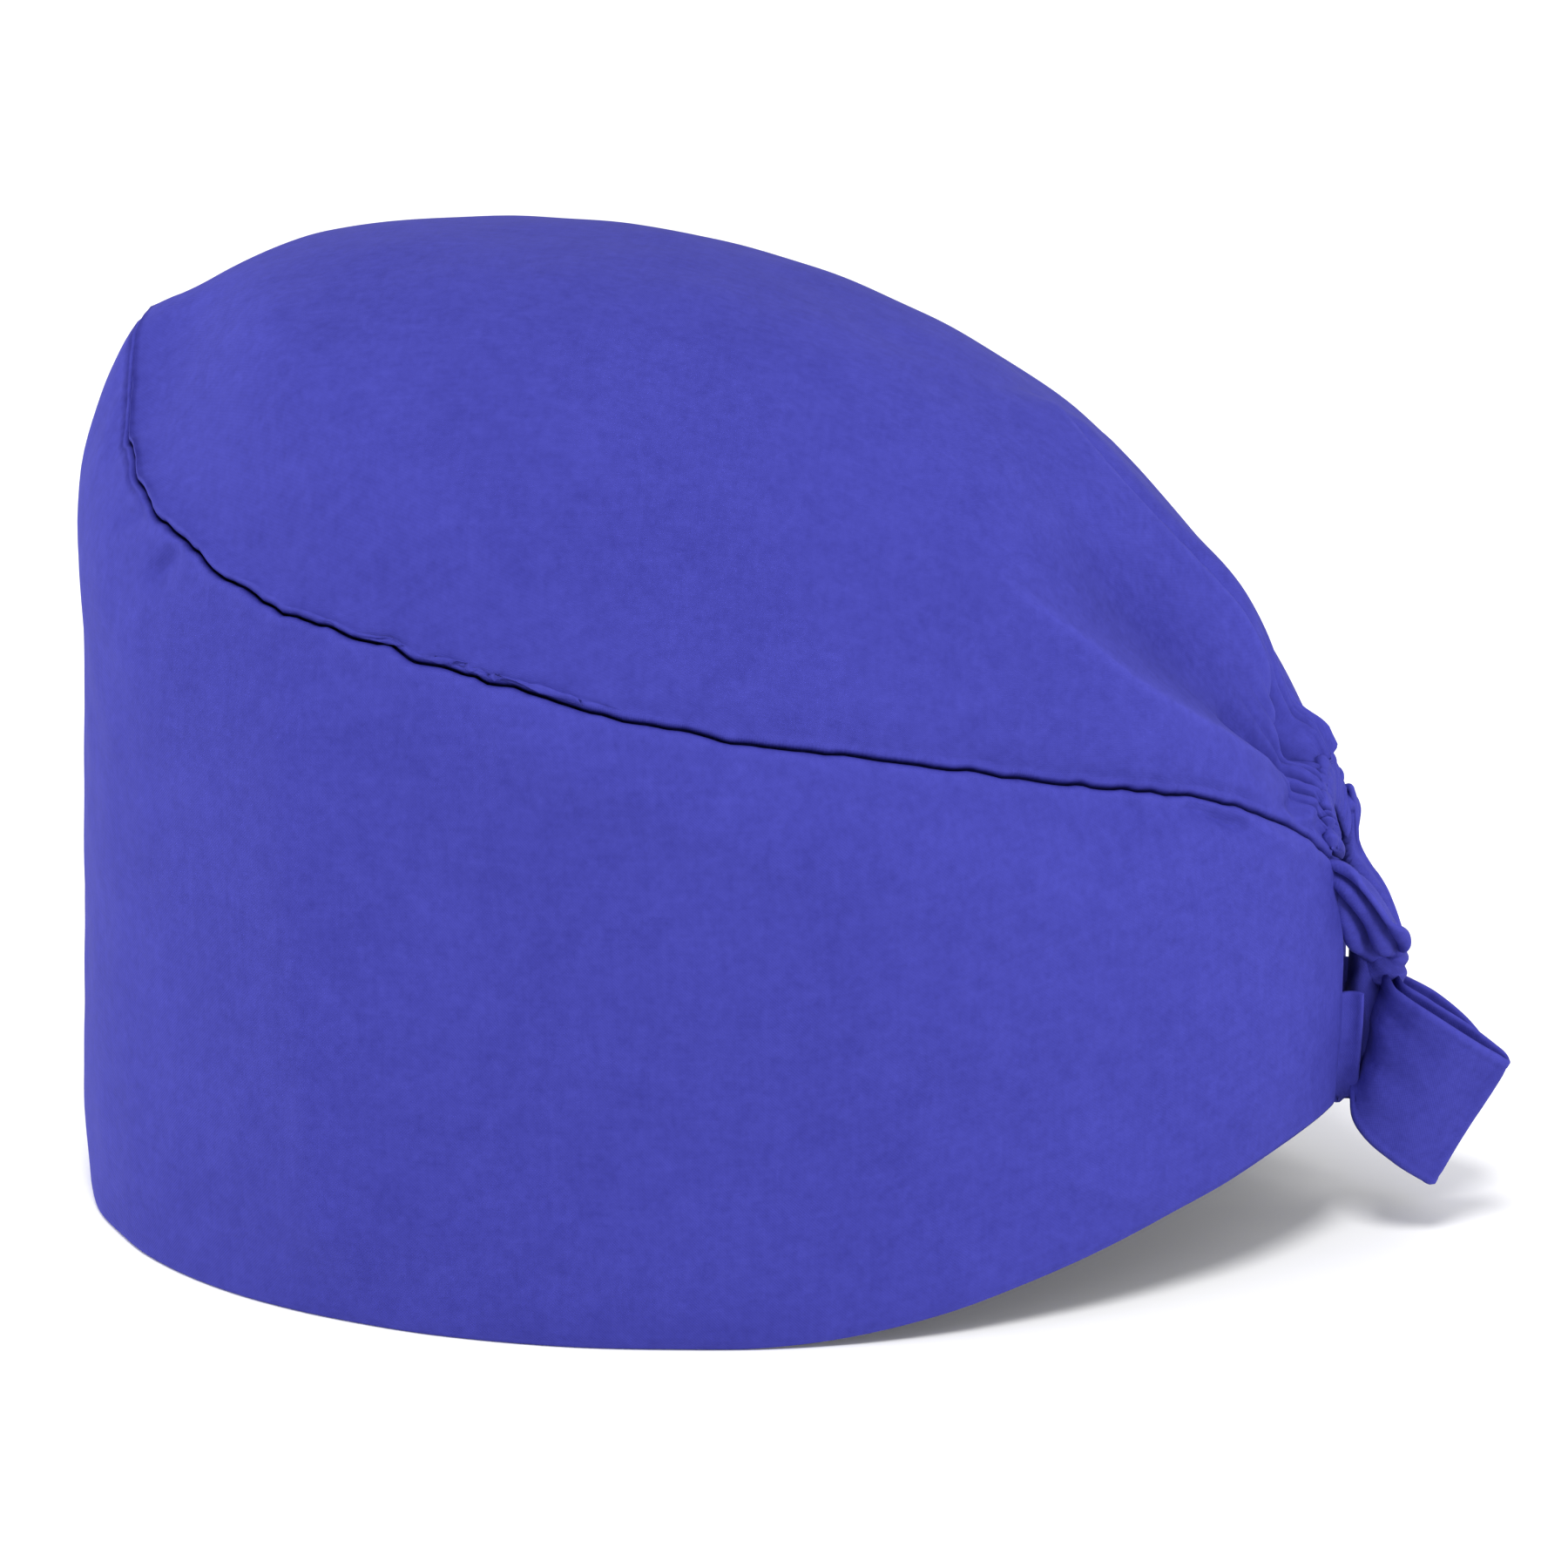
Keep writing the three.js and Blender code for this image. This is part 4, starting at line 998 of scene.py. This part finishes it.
thick = CASING_THICK / 2 * mix(1, 0.5 + 0.95 * lobes, 0.45 + 0.55 * at_crown)
ends = np.sqrt(np.clip((CASING_REACH - np.abs(arch)) / 0.03, 0.02, 1))[:, None]
thick = thick * groove * ends
reach_out = half_wide * cosine * mix(1, 0.8 + 0.3 * lobes, at_crown)
sections = middle[:, None] + wide[:, None] * reach_out[..., None]
sections = sections + out[:, None] * (thick * flat)[..., None]
points, quads, place = close_tube(sections, CASING_ROUND)
wear_and_painted_light = np.zeros(len(points))
# Painted highlight on the lobes where they bulge most, on the crown's side.
wear_and_painted_light[: thick.size] = (LOBE_HIGHLIGHT * at_crown * lobes).ravel()
casing = make_piece("casing_cloth", points, outward_quads(points, quads), place, wear_and_painted_light, cotton)
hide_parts("casing")

stitch_points, stitch_quads, stitch_places = [], [], []
stitch_turn = np.linspace(0, 2 * np.pi, 9)[:-1][None, :, None]
stitch_steps = np.linspace(-1, 1, 7)[:, None, None]
stitch_slim = STITCH_THICK / 2 * np.sqrt(np.clip(1.04 - stitch_steps**2, 0.02, 1))
for k, at in enumerate(np.linspace(-STITCH_REACH, STITCH_REACH, STITCH_COUNT)):
    i = np.abs(arch - at).argmin()
    lie = middle[i] + GROOVE_AT * half_wide[i] * wide[i]
    lie = lie + out[i] * (np.abs(thick[i]).max() * STITCH_SINK)
    ring_at = lie + stitch_steps * STITCH_LENGTH / 2 * tangent[i]
    ring_at = ring_at - STITCH_SAG * stitch_steps**2 * out[i]
    tube = ring_at + stitch_slim * (np.cos(stitch_turn) * wide[i] + np.sin(stitch_turn) * out[i])
    points, quads, place = close_tube(tube, 1.0)
    stitch_quads.append(outward_quads(points - lie, quads) + k * len(points))
    stitch_points.append(points)
    stitch_places.append(place)
make_piece(
    "casing_stitches", np.concatenate(stitch_points), np.concatenate(stitch_quads),
    np.concatenate(stitch_places), np.full(STITCH_COUNT * len(points), STITCH_WEAR), cotton,
)


# Tie and bow. The tie is a strap of folded cotton, edge-stitched, that comes out of both ends of
# the casing. It is bunched where it is pulled tight, knotted once, and tied in a bow of two
# loops, with its two short ends hanging between them.
TIE_WIDTH, TIE_WALL = 25.0, 1.15
KNOT_AT = np.array([114.2, 0.0, 45.5])
KNOT_THICK, KNOT_WIDE, KNOT_TALL = 8.2, 10.5, 10.5
KNOT_CREASE, KNOT_RIPPLE, KNOT_ROUND = 0.16, 0.04, 26
LOOP_AT = np.array([113.0, 0.0, 39.6])
LOOP_LENGTHS = {"left": 30.0, "right": 24.0}
LOOP_DROPS = {"left": 0.0, "right": 7.5}
LOOP_GAP, LOOP_FOLD, LOOP_ROOT, LAYER_PITCH = 2.6, 3.4, 5.6, 2.0
LOOP_STEPS, TIP_STEPS, LOOP_COLUMNS = 54, 12, 40
END_LENGTH, END_RISE, END_AT, END_WIDTH, END_DEPTH = 23.0, 8.5, 110.9, 6.0, 7.0
END_STEPS, END_COLUMNS, END_WAVE, END_DRIFT, END_OUT = 34, 30, 0.5, 0.6, (4.2, 6.6)

# Each loop is folded sharply inwards to the knot along a line given by height and distance back, past
# which it has painted shade, and painted shade dims it towards that line. The layer that a loop
# encloses has painted shade too.
TUCK_LINE = [
    (10.0, 104.0), (23.3, 109.2), (27.5, 113.6), (31.5, 115.4),
    (37.0, 115.6), (42.0, 117.5), (50.0, 119.0),
]
TUCK_DEPTH, TUCK_CREASE, TUCK_SHADE, INSIDE_SHADE = 5.2, 3.4, 2.2, 2.0
TUCK_DIM, TUCK_REACH, EDGE_HIGHLIGHT, EDGE_START, EDGE_RISE = 1.1, 6.0, 0.5, 0.455, 0.04


def strap(name, node, centres, acrosses, widths, ripple, columns, tuck=0, inside=None):
    """A strap of cloth through sections: each is a centre, a direction across and a width. The
    ripple, given the share along and across, moves the cloth off the flat. A tuck of 1 or -1 folds
    it in along the tuck line, to that side, and inside is the layer that a loop encloses: 0 for the
    sheet as given and 1 for the one behind it."""
    acrosses = unit(acrosses)
    tangent = unit(np.gradient(centres, axis=0))
    out = unit(np.cross(acrosses, tangent))
    shares = np.linspace(0, 1, len(centres)), np.linspace(-0.5, 0.5, columns)
    u, v = np.meshgrid(*shares, indexing="ij")
    grid = centres[:, None] + acrosses[:, None] * (v * widths[:, None])[..., None]
    grid = grid + out[:, None] * (ripple(u, v) + TIE_WALL / 2)[..., None]
    past = np.interp(grid[..., 2], *np.array(TUCK_LINE).T) - grid[..., 0]
    tucked = smooth(past / TUCK_CREASE) * abs(tuck)
    # Painted shade past the tuck line, and painted shade that dims the cloth towards it.
    painted_dimming = TUCK_DIM * np.exp(np.minimum(past, 0) / TUCK_REACH) * abs(tuck)
    grid[..., 1] += TUCK_DEPTH * tucked * tuck
    along = np.concatenate([[0], np.cumsum(np.linalg.norm(np.diff(centres, axis=0), axis=-1))])
    place = np.stack([v * TIE_WIDTH, np.broadcast_to(along[:, None], v.shape)], -1).reshape(-1, 2)
    # Painted highlight along the strap's edges.
    tone_shift = EDGE_HIGHLIGHT * smooth((np.abs(v) - EDGE_START) / EDGE_RISE)
    wear_and_painted_light = (tone_shift - TUCK_SHADE * tucked - painted_dimming).ravel()
    quads = join_quads(*v.shape)
    points, quads, source = thicken(grid.reshape(-1, 3), quads, TIE_WALL)
    quads = outward_quads(points - centres.mean(0), quads)
    wear_and_painted_light = wear_and_painted_light[source]
    # The layer that a loop encloses gets painted shade.
    if inside is not None:
        wear_and_painted_light[inside * v.size : (inside + 1) * v.size] -= INSIDE_SHADE
    piece = make_piece(name, points, quads, place[source], wear_and_painted_light, cotton)
    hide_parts(node)
    return piece


def smooth_path(rows, count):
    """Points at even shares of a list of rows, through the cubic curve of each column."""
    rows = np.array(rows, float)
    at, fine = np.linspace(0, 1, len(rows)), np.linspace(0, 1, count)
    return np.stack([through(list(zip(at, column)), fine) for column in rows.T], -1)


# Each tie's path from the casing to the knot: back, out from the middle, up, and the direction
# across it in the same three, with its width last. It leaves the casing edge up, bends down
# across its own width, and ends bunched over the knot.
TIE_ROWS = {
    "left": [
        (103.4, 10.8, 65.6, 0.2, 0.5, 0.9, 6.5),
        (108.2, 12.0, 62.6, 0.55, 0.45, 0.7, 8.6),
        (111.8, 10.2, 56.4, 0.85, 0.35, 0.4, 10.6),
        (113.8, 6.8, 51.4, 0.95, 0.3, 0.3, 10.4),
        (114.6, 3.2, 48.0, 1.0, 0.2, 0.25, 7.0),
    ],
    "right": [
        (103.4, 10.8, 66.4, 0.1, 0.1, 1.0, 7.5),
        (106.6, 12.6, 67.0, 0.2, 0.0, 1.0, 11.0),
        (106.2, 11.4, 60.0, 0.8, 0.1, 0.5, 7.0),
        (110.6, 7.4, 53.4, 0.95, 0.1, 0.3, 7.0),
        (113.4, 3.2, 48.6, 1.0, 0.0, 0.25, 6.0),
    ],
}


def tie_ripple(u, v, phase):
    """Pleats that run along the tie, lean over each other and shift as it goes."""
    across = 2.5 * v + 0.35 * np.sin(3 * u + phase) + 0.12 * np.sin(9 * u + 2 * phase)
    pleats = 1.5 * np.cos(2 * np.pi * across) + 0.45 * np.cos(4 * np.pi * across + 1 + 5 * u)
    return pleats * mix(0.75, 1, np.sin(np.pi * u)) + 0.35 * np.sin(13 * u + 9 * v + phase)


for name, side, phase in (("left", -1, 0.4), ("right", 1, 1.9)):
    rows = smooth_path(TIE_ROWS[name], 72)
    outward = np.array([1, side, 1])
    tie = strap(
        f"tie_{name}_cloth", f"tie_{name}", rows[:, :3] * outward, rows[:, 3:6] * outward,
        rows[:, 6], lambda u, v: tie_ripple(u, v, phase), 72,
    )

# The knot is a ball, a little squared, with creases that wind round it from end to end.
polar = np.linspace(0.02, np.pi - 0.02, 64), np.linspace(0, 2 * np.pi, 97)[:-1]
theta, phi = np.meshgrid(*polar, indexing="ij")
ball = np.stack([np.sin(theta) * np.cos(phi), np.sin(theta) * np.sin(phi), np.cos(theta)], -1)
slant = phi + 1.7 * np.cos(theta) + 0.5 * np.sin(2 * theta + phi)
creases = KNOT_CREASE * (np.abs(np.sin(1.5 * slant + 0.4)) ** 0.6 - 0.62)
creases = creases + KNOT_RIPPLE * np.sin(6 * slant)
ball = ball * (1 + creases * np.sin(theta) ** 1.2)[..., None]
ball = np.sign(ball) * np.abs(ball) ** 0.9
sections = ball * np.array([KNOT_THICK, KNOT_WIDE, KNOT_TALL]) / 2 + KNOT_AT
points, quads, place = close_tube(sections, KNOT_ROUND)
wear_and_painted_light = np.zeros(len(points))
# The raised creases have a painted highlight.
wear_and_painted_light[: theta.size] = (0.4 * smooth((creases - 0.02) / 0.05)).ravel()
knot = make_piece("knot_cloth", points, outward_quads(points - KNOT_AT, quads), place, wear_and_painted_light, cotton)
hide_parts("knot")

# Sections of a loop from the knot to its tip: shares of the loop's length back, out and down, the
# width as a share of the tie's, the gap between the layers as a share, and the lean in degrees.
LOOP_ROWS = [
    (0.00, 0.02, -0.06, 0.00, 0.30, 0.0, 10),
    (0.16, 0.00, 0.00, 0.08, 0.62, 0.2, 18),
    (0.34, 0.06, 0.05, 0.22, 0.86, 0.7, 24),
    (0.52, 0.18, 0.07, 0.33, 0.96, 1.0, 27),
    (0.76, 0.36, 0.06, 0.47, 1.00, 0.9, 28),
    (1.00, 0.52, 0.03, 0.60, 1.00, 0.0, 29),
]


def loop_sections(side, name, share, inset):
    """Centres, directions across and widths of a loop's layer, which lies inset towards the
    cap's middle. The outer layer bulges away from the inner one by the gap."""
    rows = np.array(LOOP_ROWS)
    back_share, out_share, down, width, gap, lean = (
        through(rows[:, [0, k]], share) for k in range(1, 7)
    )
    length = LOOP_LENGTHS[name]
    root = LOOP_ROOT + TIE_WALL / 2 + LAYER_PITCH
    bulge = np.where(inset == 0, LOOP_GAP * gap, 0)
    x = LOOP_AT[0] + length * back_share
    y = side * (root + length * out_share + bulge - inset)
    z = LOOP_AT[2] - length * down - LOOP_DROPS[name] * np.sin(np.pi / 2 * np.sqrt(share))
    lean = np.radians(lean)
    acrosses = np.stack([np.sin(lean), 0 * lean, np.cos(lean)], -1)
    return np.stack([x, y, z], -1), acrosses, TIE_WIDTH * width


def loop_ripple(u, v):
    """Bunching that fans out from the knot at both ends of the strap and dies out towards the
    tip, slack between, and a raised line of stitching inside each edge."""
    at_knot = np.abs(2 * u - 1)
    fan = 0.9 * np.cos(6 * np.pi * v + 0.6) * at_knot**3
    slack = 0.5 * swell(u * 120, v * 25, 26, 71) * (1 - at_knot) ** 0.25
    stitched = 0.14 * np.exp(-(((np.abs(v) - 0.44) / 0.018) ** 2))
    return fan + slack + stitched


for name, side in (("left", -1), ("right", 1)):
    share = np.linspace(0, 1, LOOP_STEPS)
    outer = loop_sections(side, name, share, np.zeros(LOOP_STEPS))
    inset = mix(LAYER_PITCH, LOOP_FOLD, smooth(share[::-1]))
    inner = loop_sections(side, name, share[::-1], inset)
    tip = np.linspace(0, np.pi, TIP_STEPS + 2)[1:-1]
    ahead = unit((outer[0][-1] - outer[0][-4]) * np.array([1, 0, 1]))
    tips = loop_sections(side, name, np.ones(TIP_STEPS), LOOP_FOLD / 2 * (1 - np.cos(tip)))
    turned = tips[0] + ahead * (LOOP_FOLD / 2 * np.sin(tip))[:, None]
    centres = np.concatenate([outer[0], turned, inner[0]])
    acrosses = np.concatenate([outer[1], tips[1], inner[1]])
    widths = np.concatenate([outer[2], tips[2], inner[2]])
    loop = strap(
        f"loop_{name}_cloth", f"loop_{name}", centres, acrosses, widths,
        lambda u, v: -side * loop_ripple(u, v), LOOP_COLUMNS, tuck=-side, inside=int(side > 0),
    )

    # The end hangs beside the knot as a half-rolled strip, open towards the cap's middle.
    share = np.linspace(0, 1, END_STEPS)
    x = END_AT + END_WAVE * np.sin(3 * share) - END_DRIFT * share
    y = side * mix(*END_OUT, smooth(share / 0.3))
    z = LOOP_AT[2] + END_RISE - END_LENGTH * share
    end = strap(
        f"tie_end_{name}_cloth", f"tie_end_{name}", np.stack([x, y, z], -1),
        np.tile([1.0, 0.1 * side, 0.05], (END_STEPS, 1)),
        END_WIDTH * mix(0.8, 1.0, smooth(share / 0.4)),
        lambda u, v: 0.25 * np.cos(11 * v + 5 * u) - side * END_DEPTH * np.abs(2 * v) ** 1.6,
        END_COLUMNS,
    )
